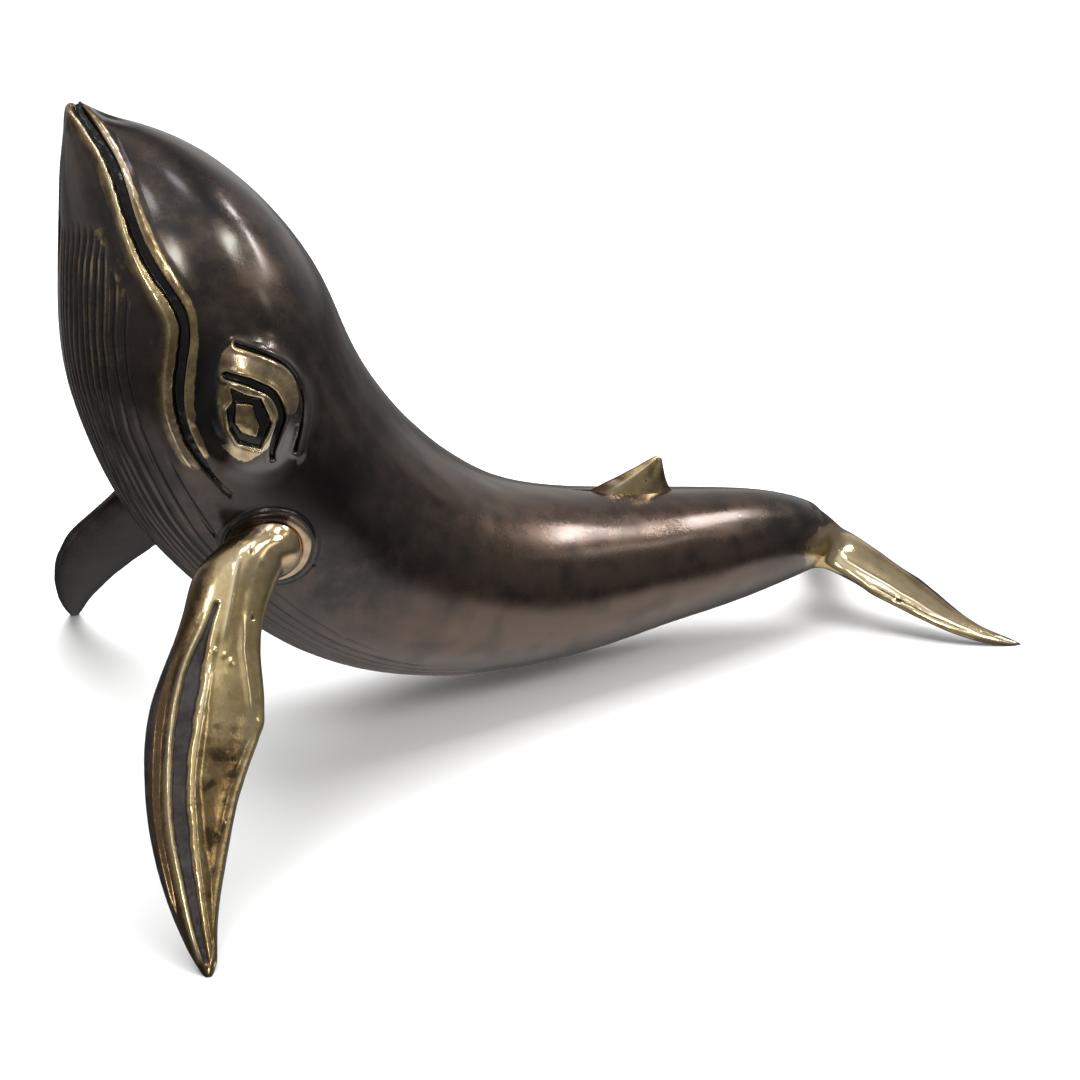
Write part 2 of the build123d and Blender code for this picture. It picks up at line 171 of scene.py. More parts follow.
# Grey patina right of the eye and under it, worn and with a painted sheen.
grey_shares = [
    (0.27, -0.05), (0.44, 0.00), (0.60, -0.05), (0.70, 0.26), (0.78, 0.20), (0.77, -0.06), (0.64, -0.30),
    (0.48, -0.52), (0.30, -0.76), (0.00, -0.74), (-0.24, -0.60), (-0.05, -0.50), (0.12, -0.40), (0.22, -0.28),
]

# Pectoral fin: root and tip as shares of the body's length, stub and collar.
fin_root_shares = (-0.3667, -0.1167, 0.2500)
fin_tip_shares = (-0.5000, -0.3713, 0.0)
stub_direction = (-0.30, -0.92, -0.26)
fin_twist = math.radians(-10.0)
stub_radius = 9.0
collar_width = 2.7
collar_rise = 1.1
boss_width = 1.1
boss_rise = 0.5
# The collar's cross section: place as a share of its width, height as a share
# of its rise, and how dark it is there.
collar_shares = np.array([
    (-0.30, 0.10, 1.0), (-0.12, 0.30, 1.0), (0.0, 0.35, 0.9), (0.06, 0.75, 0.3), (0.12, 0.92, 0.0),
    (0.30, 1.0, 0.0), (0.55, 1.0, 0.0), (0.80, 0.85, 0.0), (0.95, 0.50, 0.2), (1.05, 0.0, 0.9),
    (1.10, -0.6, 1.0),
])
# Sections along the fin, as shares of its span: place along it, leading edge,
# trailing edge, rise, thickness, and how far the section faces along the stub.
fin_shares = np.array([
    (-0.060, -0.105, 0.061, -0.052, 0.150, 1.00),
    (0.018, -0.105, 0.061, 0.000, 0.150, 0.85),
    (0.105, -0.166, 0.035, 0.014, 0.115, 0.45),
    (0.210, -0.180, 0.010, 0.014, 0.085, 0.15),
    (0.332, -0.193, 0.024, 0.008, 0.074, 0.00),
    (0.455, -0.212, 0.041, 0.004, 0.066, 0.00),
    (0.577, -0.206, 0.019, 0.000, 0.061, 0.00),
    (0.700, -0.180, 0.005, 0.000, 0.052, 0.00),
    (0.814, -0.137, 0.000, 0.000, 0.044, 0.00),
    (0.910, -0.087, 0.003, 0.000, 0.037, 0.00),
    (0.971, -0.045, 0.009, 0.000, 0.030, 0.00),
    (1.010, -0.009, 0.005, 0.000, 0.018, 0.00),
])
# Dark channel in the fin's upper face: place along it, middle, half width.
channel_shares = np.array([
    (0.205, -0.116, 0.006), (0.263, -0.124, 0.007), (0.339, -0.135, 0.014), (0.430, -0.139, 0.019),
    (0.522, -0.137, 0.019), (0.611, -0.130, 0.016), (0.694, -0.114, 0.017), (0.777, -0.090, 0.015),
    (0.855, -0.063, 0.012), (0.934, -0.034, 0.009), (0.985, -0.012, 0.005),
])
channel_depth = 0.9
# Where the fin's facet runs: place along the fin, and across it.
facet_shares = ((0.22, 0.30, 0.45), (-0.045, -0.035, 0.012))
# Dents and casting pits in the fin: place along and across it as shares of its
# span, half size and depth in mm. A dent has a depth below 0.
fin_spots = (
    (0.316, -0.104, 1.5, -0.28), (0.322, -0.081, 1.4, -0.26), (0.333, -0.062, 1.5, -0.26),
    (0.07, -0.059, 0.75, 0.55), (0.218, -0.025, 0.90, 0.60), (0.085, -0.066, 0.4, 0.3),
    (0.055, -0.060, 0.35, 0.3), (0.205, -0.034, 0.45, 0.3), (0.13, -0.02, 0.4, 0.3),
    (0.49, -0.03, 0.45, 0.25), (0.548, -0.015, 0.6, 0.35), (0.53, -0.028, 0.5, 0.3),
    (0.682, -0.012, 0.45, 0.3), (0.72, -0.03, 0.5, 0.3), (0.60, -0.05, 0.4, 0.2),
)

# Tail flukes, as shares of the body's length: distance out, leading edge x,
# trailing edge x, height and thickness.
fluke_shares = np.array([
    (0.0000, 0.3070, 0.3960, 0.0840, 0.0360),
    (0.0200, 0.3120, 0.4080, 0.0775, 0.0340),
    (0.0433, 0.3283, 0.4213, 0.0667, 0.0280),
    (0.0700, 0.3500, 0.4320, 0.0543, 0.0235),
    (0.1000, 0.3753, 0.4427, 0.0405, 0.0200),
    (0.1300, 0.4007, 0.4533, 0.0267, 0.0165),
    (0.1567, 0.4287, 0.4673, 0.0145, 0.0135),
    (0.1767, 0.4583, 0.4880, 0.0055, 0.0105),
    (0.1900, 0.4880, 0.5020, -0.0005, 0.0060),
])

# Dorsal fin, as shares of the body's length: front x and z, rear x and z, width.
dorsal_shares = np.array([
    (0.0200, 0.2033, 0.1333, 0.1817, 0.0267),
    (0.0400, 0.2100, 0.1240, 0.1920, 0.0220),
    (0.0667, 0.2187, 0.1180, 0.2050, 0.0173),
    (0.0900, 0.2273, 0.1147, 0.2183, 0.0120),
    (0.1040, 0.2325, 0.1125, 0.2287, 0.0060),
])
dorsal_pit = (26.5 + frame_shift, -2.4, 62.5)


def smooth(low, high, value):
    """A soft step from 0 at low to 1 at high."""
    part = np.clip((value - low) / (high - low), 0, 1)
    return part * part * (3 - 2 * part)


def fade(low, high, value):
    """The same step turned round: 1 at low, 0 at high."""
    return 1 - smooth(low, high, value)


def span(value, rise, full, fall, gone):
    """A soft stretch: up from rise to full, down from fall to gone."""
    return smooth(rise, full, value) * fade(fall, gone, value)


def most(*values):
    """The highest of several arrays, point by point."""
    return np.max(np.broadcast_arrays(*values), axis=0)


def vectors(x, y, z):
    """Points or directions from three arrays or numbers."""
    return np.stack(np.broadcast_arrays(x, y, z), axis=-1)


def unit(directions):
    """The same directions with a length of 1."""
    return directions / np.linalg.norm(directions, axis=-1, keepdims=True)


def hump(distance, half):
    """A rounded hump: 1 at no distance, 0 from half onwards."""
    return fade(0, half, np.abs(distance))


def noise(points, size, seed):
    """Smooth noise from -1 to 1 at points, with features of about size mm."""
    cell = points / size + 37.3 * seed
    base = np.floor(cell)
    part = smooth(0, 1, cell - base)
    base = base.astype(np.int64)
    total = 0.0
    for corner in np.ndindex(2, 2, 2):
        at = base + corner
        key = at[..., 0] * 374761393 + at[..., 1] * 668265263 + at[..., 2] * 1274126177 + seed * 97
        key = (key ^ (key >> 13)) * 1103515245 & 0x7FFFFFFF
        key = (key ^ (key >> 11)) * 12345701 & 0x7FFFFFFF
        value = ((key >> 8) & 0xFFFF) / 32767.5 - 1
        total = total + np.prod(np.where(corner, part, 1 - part), axis=-1) * value
    return total


def curve(table, at):
    """Natural cubic curve through a table whose first column is the place."""
    places = table[:, 0]
    values = table[:, 1:]
    gaps = np.diff(places)
    count = len(places)
    matrix = np.eye(count)
    right = np.zeros((count, values.shape[1]))
    slopes = np.diff(values, axis=0) / gaps[:, None]
    for row in range(1, count - 1):
        matrix[row, row - 1] = gaps[row - 1]
        matrix[row, row] = 2 * (gaps[row - 1] + gaps[row])
        matrix[row, row + 1] = gaps[row]
        right[row] = 6 * (slopes[row] - slopes[row - 1])
    bend = np.linalg.solve(matrix, right)
    at = np.asarray(at, float)
    cell = np.clip(np.searchsorted(places, at) - 1, 0, count - 2)
    gap = gaps[cell][..., None]
    before = (at - places[cell])[..., None]
    after = gap - before
    return (
        bend[cell] * after**3 / (6 * gap)
        + bend[cell + 1] * before**3 / (6 * gap)
        + (values[cell] / gap - bend[cell] * gap / 6) * after
        + (values[cell + 1] / gap - bend[cell + 1] * gap / 6) * before
    )


def with_index(table):
    """The table with its row numbers in front, to run a curve through."""
    return np.column_stack([np.arange(len(table)), table])


station_curve = with_index(body_shares * body_length)
slide = np.array([frame_shift, 0.0, 0.0])
nose_length = 0.55
nose_x, nose_z = station_curve[0, 1:3] - station_curve[0, 3:5]
nose_dir = np.cross([0.0, -1.0, 0.0], unit(vectors(nose_x, 0.0, nose_z)))


def body_skin(station, angle):
    """Points of the smooth skin; 0 degrees is the back and 90 the left side.

    Stations from 0 down to -1 round off the very tip of the snout.
    """
    station = np.asarray(station, float)
    nose = np.clip(-station, 0, 1)
    shrink = np.sqrt(1 - nose**2)
    sizes = curve(station_curve, np.maximum(station, 0))
    top_x, top_z, low_x, low_z, half_width = np.moveaxis(sizes, -1, 0)
    around = np.radians(angle)
    reach = np.cos(around) / 2 * shrink
    x = (top_x + low_x) / 2 + (top_x - low_x) * reach
    z = (top_z + low_z) / 2 + (top_z - low_z) * reach
    y = -half_width * np.sin(around) * shrink
    return vectors(x, y, z) + slide + nose_dir * (nose * nose_length)[..., None]


def body_normal(station, angle):
    """Outward normals of the smooth skin."""
    step = 0.01
    ahead = body_skin(np.minimum(station + step, last_station), angle)
    along = ahead - body_skin(np.maximum(station - step, -1), angle)
    around = body_skin(station, angle + step) - body_skin(station, angle - step)
    outward = np.cross(around, along)
    size = np.linalg.norm(outward, axis=-1, keepdims=True)
    return np.where(size > 1e-9, outward / np.maximum(size, 1e-9), nose_dir)


def nearest(points, line):
    """Distance from points to a polyline, and the share along it."""
    best = np.full(len(points), 1e9)
    place = np.zeros(len(points))
    run = np.diff(line, axis=0)
    length = (run**2).sum(1) + 1e-12
    for index in range(len(run)):
        part = np.clip((points - line[index]) @ run[index] / length[index], 0, 1)
        gap = np.linalg.norm(points - line[index] - part[:, None] * run[index], axis=1)
        closer = gap < best
        best[closer] = gap[closer]
        place[closer] = (index + part[closer]) / len(run)
    return best, place


def soft_distance(points, line):
    """Distance to a line that stays smooth on both sides of its bends."""
    # Inverse fifth powers summed along a straight line give 4 / 3 / gap^4.
    total = np.zeros(len(points))
    for middle, step in zip((line[1:] + line[:-1]) / 2, np.diff(line, axis=0)):
        total += np.linalg.norm(step) / (((points - middle) ** 2).sum(1) + 1e-4) ** 2.5
    return (total * 3 / 4) ** (-1 / 4)


def outline_gap(points, corners):
    """Distance to a closed outline in the side view, below 0 inside it."""
    loop = np.concatenate([corners, corners[:1]])
    gap = nearest(points, loop)[0]
    x, z = points.T
    inside = np.zeros(len(points), bool)
    for (x_0, z_0), (x_1, z_1) in zip(loop[:-1], loop[1:]):
        slope = (x_1 - x_0) / (z_1 - z_0 + 1e-12)
        inside ^= ((z_0 > z) != (z_1 > z)) & (x < x_0 + slope * (z - z_0))
    return np.where(inside, -gap, gap)


def run_through(table, count):
    """A smooth curve of count points through the rows of a table."""
    return curve(with_index(np.array(table, float)), np.linspace(0, len(table) - 1, count))


def place_object(name, data):
    """Put a new object with this data into the scene."""
    made = bpy.data.objects.new(name, data)
    bpy.context.scene.collection.objects.link(made)
    return made


def read_points(mesh, what="co"):
    """The places or the normals of a mesh's points."""
    flat = np.zeros(len(mesh.vertices) * 3)
    mesh.vertices.foreach_get(what, flat)
    return flat.reshape(-1, 3)


def write_points(mesh, points):
    """Move a mesh's points to places in mm."""
    mesh.vertices.foreach_set("co", (points * MM).reshape(-1))
    mesh.update()


def make_mesh(name, points, faces, marks=None):
    """A smooth shaded piece from points in mm, with named values on them."""
    mesh = bpy.data.meshes.new(name)
    mesh.from_pydata((points * MM).tolist(), [], faces)
    paint(mesh, marks or {})
    mesh.shade_smooth()
    return place_object(name, mesh)


def paint(mesh, marks):
    """Put named values from 0 to 1 on the points of a mesh."""
    for mark, values in marks.items():
        layer = mesh.attributes.new(mark, "FLOAT", "POINT")
        flat = np.clip(values, 0, 1).reshape(-1)
        flat = np.concatenate([flat, np.full(len(mesh.vertices) - len(flat), flat[-1])])
        layer.data.foreach_set("value", flat.astype(np.float32))


def make_loft(name, rows, solid=False, marks=None, flip=False):
    """A piece from rows of points in mm; a solid is closed, capped and faces outwards."""
    count, across = rows.shape[:2]
    index = np.arange(count * across).reshape(count, across)
    if solid:
        index = np.concatenate([index, index[:, :1]], axis=1)
    quads = [index[:-1, :-1], index[:-1, 1:], index[1:, 1:], index[1:, :-1]]
    faces = np.stack(quads, axis=-1).reshape(-1, 4).tolist()
    points = rows.reshape(-1, 3)
    if solid:
        ends = (zip(index[0, 1:], index[0]), zip(index[-1], index[-1, 1:]))
        for centre, pairs in enumerate(ends, count * across):
            faces += [[int(a), int(b), centre] for a, b in pairs]
        points = np.concatenate([points, rows[[0, -1]].mean(1)])
    if flip:
        faces = [face[::-1] for face in faces]
    piece = make_mesh(name, points, faces, marks)
    if solid:
        measured = bmesh.new()
        measured.from_mesh(piece.data)
        if measured.calc_volume(signed=True) < 0:
            piece.data.flip_normals()
        measured.free()
    return piece


def row_places(first, last, spacing):
    """Places between first and last so that the gaps follow spacing(place)."""
    fine = np.linspace(first, last, 4001)
    track = body_skin(fine, np.full(len(fine), 110.0))
    step = np.linalg.norm(np.diff(track, axis=0), axis=1)
    middle = (fine[:-1] + fine[1:]) / 2
    total = np.concatenate([[0], np.cumsum(step / spacing(middle))])
    return np.interp(np.linspace(0, total[-1], int(total[-1]) + 1), total, fine)


# Frames of the fin: along its span, across its chord, out of its upper face.
fin_root = np.array(fin_root_shares) * body_length
fin_tip = np.array(fin_tip_shares) * body_length
fin_span = np.linalg.norm(fin_tip - fin_root)
span_dir = (fin_tip - fin_root) / fin_span
flat_chord = unit(np.array([1.0, 0, 0]) - span_dir * span_dir[0])
chord_dir = flat_chord * math.cos(fin_twist) + np.cross(span_dir, flat_chord) * math.sin(fin_twist)
face_dir = np.cross(span_dir, chord_dir)
stub_dir = unit(np.array(stub_direction))
root_point = fin_root + slide
boss_outer = stub_radius + collar_width + boss_width

# Tracks of the carving: the mouth on the skin, the eye's lines in side view.
mouth_stations, mouth_angles = run_through([(-1.0, 86.0)] + mouth_line.tolist(), 340).T
mouth_track = body_skin(mouth_stations, mouth_angles)
mouth_close = np.interp(mouth_end, mouth_stations, np.linspace(0, 1, len(mouth_stations)))
eye_centre = body_skin(np.array(eye_station), np.array(eye_angle))
ring_outline = np.array(ring_shares) * eye_size
pupil_outline = np.array(pupil_shares) * eye_size
worn_outline = run_through(worn_shares + worn_shares[:1], 60) * eye_size
grey_outline = run_through(grey_shares + grey_shares[:1], 60) * eye_size
lid_track = run_through(lid_shares, 50) * eye_size
crease_track = run_through(crease_shares, 50) * eye_size


def eye_plane(points):
    """Side view place of skin points, from the eye's centre."""
    return points[:, (0, 2)] - eye_centre[[0, 2]]


def mound_gap(points):
    """Share of the way from the middle of the eye's swelling to its edge."""
    across, up = (eye_plane(points) / eye_size).T
    middle_x, middle_z, half_x, half_z = mound_shares
    gap = np.hypot((across - middle_x) / half_x, (up - middle_z) / half_z)
    return np.where((points[:, 1] < 0) & (np.abs(across) < 1.2), gap, 9.0)


def brass_start(points):
    """X where the tail's polished brass begins, by the angle round the tail."""
    top_x, top_z, low_x, low_z, half_width = curve(station_curve, np.linspace(14, last_station, 60)).T
    centre_x = (top_x + low_x) / 2
    at = points[:, 0] - frame_shift
    middle = np.interp(at, centre_x, (top_z + low_z) / 2)
    tall = np.interp(at, centre_x, (top_z - low_z) / 2)
    wide = np.interp(at, centre_x, half_width)
    angle = np.degrees(np.arctan2(np.abs(points[:, 1]) / wide, (points[:, 2] - middle) / tall))
    return np.interp(angle, *brass_line)


def tail_wear(points, wander):
    """Marks where the tail's patina gives way to brass."""
    past = points[:, 0] - brass_start(points) + wander
    return {
        "brass": smooth(-9.0, 8.0, past),
        "rose": 0.9 * hump(past - 0.5, 5.0),
        "warm": 0.9 * span(past, -9.0, -2.0, 2.0, 5.0),
        "tarnish": 0.75 * span(past, -6.0, -2.0, -1.0, 5.0),
    }


def stub_gap(points):
    """Distance of skin points from the axis of the fin's stub."""
    offset = points - root_point
    out = offset @ stub_dir
    radial = np.sqrt(np.maximum((offset**2).sum(-1) - out**2, 0))
    return np.where((points[:, 1] < 0) & (np.abs(out) < 14), radial, 99.0)


def mouth_gap(points, station, angle):
    """Distance of skin points from the mouth line, and the share along it."""
    gap = np.full(len(points), 99.0)
    share = np.zeros(len(points))
    close = (station < mouth_line[-1, 0] + 0.6) & ((np.abs(angle - 102) < 35) | (station < 1.6))
    gap[close], share[close] = nearest(points[close], mouth_track)
    return gap, share


def lip_distance(points, gap):
    """Distance from the mouth line, smoothed away from it for the lips."""
    soft = gap.copy()
    near = (gap > 0.9) & (gap < 16)
    soft[near] = soft_distance(points[near], mouth_track)
    return gap + (soft - gap) * smooth(1.0, 2.2, gap)


class Carving:
    """Height over the smooth skin in mm, and what shows of the metal there."""

    def __init__(self, station, angle, side):
        self.station = station
        self.angle = angle
        self.points = body_skin(station, angle)
        self.real = self.points * [1, -side, 1]
        self.seed = 3 if side < 0 else 5
        self.drift = noise(self.real, 9.0, self.seed)
        self.coarse = noise(self.real, 5.0, self.seed + 9)
        self.grain = noise(self.real, 1.3, self.seed + 12)
        self.high = np.zeros(len(station))
        self.marks = {name: np.zeros(len(station)) for name in mark_names}

    def mark(self, name, values, where=slice(None)):
        """Raise one of the marks to the values where they are higher."""
        self.marks[name][where] = np.maximum(self.marks[name][where], values)

    def patch_gap(self, place_x, place_z, wide, tall):
        """Share of the way from the middle of a patch in side view to its edge."""
        return np.hypot((self.points[:, 0] - place_x) / wide, (self.points[:, 2] - place_z) / tall)


def carve_hide(work):
    """Hollows filed by hand along the body, and its dark and warm places; the dark places are partly painted
    shade.
    """
    station, angle, real, drift = work.station, work.angle, work.real, work.drift
    stretched = vectors(station * 9.0, real[:, 1], angle * 0.55)
    streaks = vectors(station * 2.6, 0, angle * 0.45)
    fine = noise(streaks, 2.6, work.seed + 4)
    neck = span(station, 4.6, 6.2, 10.0, 12.5) * fade(55, 85, angle)
    work.high += 0.20 * noise(stretched, 9.0, work.seed) + 0.12 * noise(real, 14.0, work.seed + 1)
    work.high += 0.10 * fine * neck
    # The lower jaw ends in a round tip, and the beak sinks a little behind its own.
    work.high += 1.0 * hump(station - 0.5, 1.6) * smooth(104, 140, angle)
    work.high -= 0.9 * hump(station - 1.55, 0.55) * fade(20, 65, angle)
    # The dark patches are partly painted shade.
    for patch in dark_patches:
        work.mark("dark", fade(0.45, 1.15, work.patch_gap(*patch) + 0.2 * drift))
    flank = span(station, 8.4, 10.2, 13.8, 15.3)
    work.mark("warm", 0.6 * neck * smooth(0.0, 0.6, fine))
    work.mark("warm", 0.35 * smooth(0.15, 0.7, drift))
    work.mark("warm", 1.5 * flank * np.clip(0.65 + 0.45 * work.coarse + 0.3 * drift, 0, 1))


def carve_mouth(work):
    """Mouth groove between two worn lips."""
    station, coarse, grain = work.station, work.coarse, work.grain
    gap, share = mouth_gap(work.points, station, work.angle)
    soft = lip_distance(work.points, gap)
    lower = work.angle > np.interp(station, mouth_stations, mouth_angles)
    half = np.interp(share, *groove_shares)
    ahead = fade(mouth_close - 0.05, mouth_close + 0.01, share) * (share < 0.999)
    # The lower lip rises to a thin crest and falls away softly.
    out = soft - half - np.interp(station, *crest_table)
    swell = np.where(out > 0, fade(0.0, 4.6, out), fade(0.0, 2.4, -out))
    lower_lip = 0.62 * swell + 0.20 * hump(out, 0.8)
    upper_edge = half + np.interp(station, *upper_lip_table)
    upper_lip = 0.55 * span(soft, half - 0.6, half + 0.5, upper_edge - 1.0, upper_edge + 1.6)
    ripple = 1 + 0.22 * noise(work.real, 4.0, work.seed + 2) + 0.10 * grain
    work.high += np.where(lower, lower_lip, upper_lip) * ripple * ahead
    # The hollow between the upper lip and the eye is painted near black: painted shade.
    valley = hump(gap - 7.8, 4.4) * smooth(0.55, 0.75, share) * ahead * ~lower
    work.high -= 1.1 * valley
    chips = 0.20 * coarse + 0.16 * grain * lower
    thin = half * (1 - 0.55 * smooth(mouth_close - 0.06, mouth_close + 0.03, share))
    deep = (1 - 0.75 * smooth(mouth_close, mouth_close + 0.05, share)) * fade(0.985, 0.999, share)
    sunk = deep * fade(thin * 0.78, thin * 1.08, gap + chips)
    depth = groove_depth * (0.75 + 0.25 * smooth(0.0, 0.15, share))
    work.high = work.high * (1 - sunk) - sunk * (depth + 0.15 * coarse + 0.1 * grain)
    # Both lips are worn to brass, palest on the upper one's middle.
    ragged = 0.22 * coarse + 0.22 * grain
    worn_low = fade(0.4, 4.2, out + 1.5 * ragged)
    worn_up = fade(upper_edge - 0.5, upper_edge + 0.4, soft + ragged)
    pale = span(station, 1.5, 1.9, 2.7, 3.1)
    tip = fade(0.6, 1.8, station)
    stain = np.where(lower, 0.45 + 0.55 * smooth(0.2, 1.8, out) - 0.35 * hump(out, 0.7), 0.52 - 0.3 * pale)
    stain = np.clip(stain + 0.30 * coarse + 0.35 * tip, 0, 1)
    # Painted highlights on the lower lip's crest and along the upper lip, strongest on its pale middle.
    glint = np.where(lower, hump(out, 0.55), hump(soft - half - 0.45, 0.5) + 0.5 * pale * worn_up)
    work.mark("brass", 0.88 * np.where(lower, worn_low, worn_up) * ahead)
    work.mark("tarnish", stain * (ahead > 0) * (soft < 9))
    work.mark("painted_highlight", 0.65 * glint * ahead * smooth(-0.5, 0.4, work.drift) * (1 - tip))
    work.mark("rose", 0.8 * ahead * ~lower * pale)
    work.mark("soot_and_shade", np.maximum(sunk, 0.9 * valley))
    # The lower lip flares where the mouth closes.
    flare = hump(share - mouth_close + 0.05, 0.10) * fade(2.5, 6.5, gap + work.drift) * lower
    work.mark("brass", 0.70 * flare)
    work.mark("rose", flare)


def carve_eye(work):
    """Swelling, hollow, ring, lid and crease of the eye."""
    far = mound_gap(work.points)
    work.high += mound_rise * fade(0.45, 1.08, far)
    near = np.flatnonzero(far < 2.2)
    drift, coarse, grain = (values[near] for values in (work.drift, work.coarse, work.grain))
    flat = eye_plane(work.points[near])
    wobble = 0.16 * coarse + 0.08 * grain
    ring = outline_gap(flat, ring_outline) + wobble
    pupil = outline_gap(flat, pupil_outline) + wobble
    lid, lid_share = nearest(flat, lid_track)
    crease, crease_share = nearest(flat, crease_track)
    lid_half = 0.95 - 0.25 * smooth(0.8, 1.0, lid_share)
    crease_half = 0.46 - 0.20 * smooth(0.15, 0.55, crease_share) + 0.16 * smooth(0.78, 0.92, crease_share)
    hollow = fade(-0.35, 0.15, ring) * smooth(-0.15, 0.3, pupil)
    lid_cut = fade(lid_half * 0.72, lid_half * 1.15, lid + wobble)
    crease_cut = fade(crease_half * 0.6, crease_half * 1.3, crease + 0.5 * wobble)
    high = 0.30 * hump(ring - 0.5, 0.8) + (0.25 + 0.35 * smooth(0, 2.6, -pupil)) * (pupil < 0)
    high += 0.34 * hump(lid - 1.6, 1.0) + 0.30 * hump(crease - 1.2, 1.1)
    high -= eye_depth * (hollow + lid_cut) + crease_depth * crease_cut
    # A polished crescent stands behind the crease.
    behind = hump(crease - 2.0, 2.0) * (flat[:, 0] > 0.52 * eye_size) * smooth(0.45, 0.7, crease_share)
    work.high[near] += high + 0.7 * behind
    worn = outline_gap(flat, worn_outline) + 0.9 * drift + 0.7 * coarse + 0.25 * grain
    brass = fade(-1.0, 0.7, worn)
    # Grey right of the eye and under it: worn patina with a painted sheen.
    grey = fade(-1.5, 2.0, outline_gap(flat, grey_outline) + drift + 0.6 * coarse)
    across, up = (flat / eye_size).T
    left = fade(-0.22, -0.12, across) * smooth(-0.12, 0.05, up)
    low = fade(-0.30, -0.12, up)
    below_crease = hump(crease - 3.2, 3.0) * (np.hypot(across, up) < np.hypot(0.62, 0.55))
    stains = smooth(0.15, 0.7, noise(work.real[near], 3.2, work.seed + 31)) * (across > 0.05)
    pupil_top = smooth(0.0, 0.14, up) * (pupil < 0)
    stain = 0.44 + 0.45 * coarse + 0.25 * grain + 0.15 * left - 0.25 * low
    stain = np.clip(stain + 0.55 * stains + 0.35 * pupil_top, 0, 1)
    # Painted highlights on the ring's right edge and along the lid, and the eye's lower part painted paler.
    glint = np.maximum(hump(ring - 0.5, 0.5) * smooth(-0.1, 0.1, across), 0.5 * hump(lid - 1.5, 0.4))
    work.mark("brass", 0.88 * brass * (1 - 0.75 * grey), near)
    work.mark("soot_and_shade", most(hollow, lid_cut, crease_cut), near)
    work.mark("grey", grey, near)
    work.mark("rose", brass * np.maximum(0.75 * low, 0.7 * below_crease), near)
    work.mark("tarnish", brass * stain, near)
    work.mark("painted_highlight", brass * np.maximum(0.75 * glint, 0.25 * low), near)


def carve_boss(work):
    """Boss round the fin's root, with a thin worn rim; gives the gap past its rim."""
    rim = stub_gap(work.points) - boss_outer
    upper = smooth(-6.0, 6.0, (work.points - root_point) @ np.array([0.3, 0.0, 1.0]))
    nicks = smooth(0.35, 0.6, noise(work.real, 2.2, work.seed + 21)) * hump(rim - 1.2, 1.5)
    work.high += boss_rise * fade(-0.9, 0.3, rim) + 0.30 * hump(rim + 0.6, 0.6)
    work.high -= 0.35 * nicks * (1 - upper)
    work.mark("brass", 0.50 * hump(rim + 0.45, 0.40) * (0.45 + 0.55 * upper))
    work.mark("tarnish", 0.5 * hump(rim + 0.45, 0.6))
    # Inside the boss, under the fin, the patina is darkened as painted shade.
    work.mark("dark", 0.7 * fade(-1.0, 0.0, rim))
    work.mark("soot_and_shade", 0.8 * hump(rim - 0.9, 1.1))
    return rim


def carve_pleats(work, rim):
    """Throat pleats cut in short strokes, with worn ridges between them."""
    station, angle = work.station, work.angle
    degree = np.linalg.norm(body_skin(station, angle + 0.5) - body_skin(station, angle - 0.5), axis=-1)
    clear = smooth(0.8, 2.0, rim)
    for number, (line, first, last, strength) in enumerate(pleat_table):
        wander = 0.25 * np.sin(station * 2.3 + number * 1.7) + 0.3 * np.sin(station * 5.1 + number)
        bent = 180 - (180 - line) * np.interp(station, *pleat_warp)
        side_gap = np.abs(angle - bent - wander) * degree
        strokes = vectors(station * 8.0, number * 9.0, 0)
        dashes = smooth(-0.75, -0.45, noise(strokes, 1.6, work.seed) + (strength - 0.55) * 2.2)
        press = span(station, first - 0.15, first + 0.15, last - 0.25, last + 0.1) * dashes * strength * clear
        groove = np.clip(1 - side_gap / pleat_half, 0, 1)
        ridge = hump(side_gap - 1.2, 0.9) * press * span(station, 3.3, 3.7, 4.6, 5.6)
        work.high -= pleat_depth * press * groove
        work.mark("soot_and_shade", press * smooth(0.15, 0.8, groove))
        work.mark("brass", ridge * (0.68 + 0.25 * work.drift) * fade(148, 158, angle))
        work.mark("tarnish", 0.75 * ridge)


def carve_wear(work):
    """Specks of brass between the lip and the pleats, and at the tail's end."""
    for place in worn_patches:
        patch = fade(0.3, 1.1, work.patch_gap(*place)) * (work.angle > 100)
        work.mark("brass", patch * (0.52 + 0.50 * work.grain))
        work.mark("tarnish", 0.6 * patch)
    for name, values in tail_wear(work.points, 0.8 * work.coarse).items():
        work.mark(name, values)


def skin_rows():
    """Stations of the grid's rows, closest together at the snout."""
    def spacing(place):
        return np.where(place < 1.6, 0.32, np.where(place < 11.5, 1.1, 1.8))
    return row_places(-0.95, tail_joint, spacing)


def split_near(grid, reach):
    """Split the faces that lie within reach mm of a carved edge."""
    station, angle = np.array([face.calc_center_median()[:2] for face in grid.faces]).T
    points = body_skin(station, angle)
    gap = mouth_gap(points, station, angle)[0]
    close = (gap < groove_half + reach) & (station > 1.2) & (station < mouth_end + 0.4)
    close |= np.abs(stub_gap(points) - boss_outer) < reach * 0.55
    near = np.flatnonzero(mound_gap(points) < 1.5)
    flat = eye_plane(points[near])
    tracks = (ring_outline, pupil_outline, lid_track, crease_track)
    close[near] |= np.min([nearest(flat, track)[0] for track in tracks], axis=0) < reach
    edges = dict.fromkeys(edge for face, chosen in zip(grid.faces, close) if chosen for edge in face.edges)
    bmesh.ops.subdivide_edges(grid, edges=list(edges), cuts=1, use_grid_fill=True)


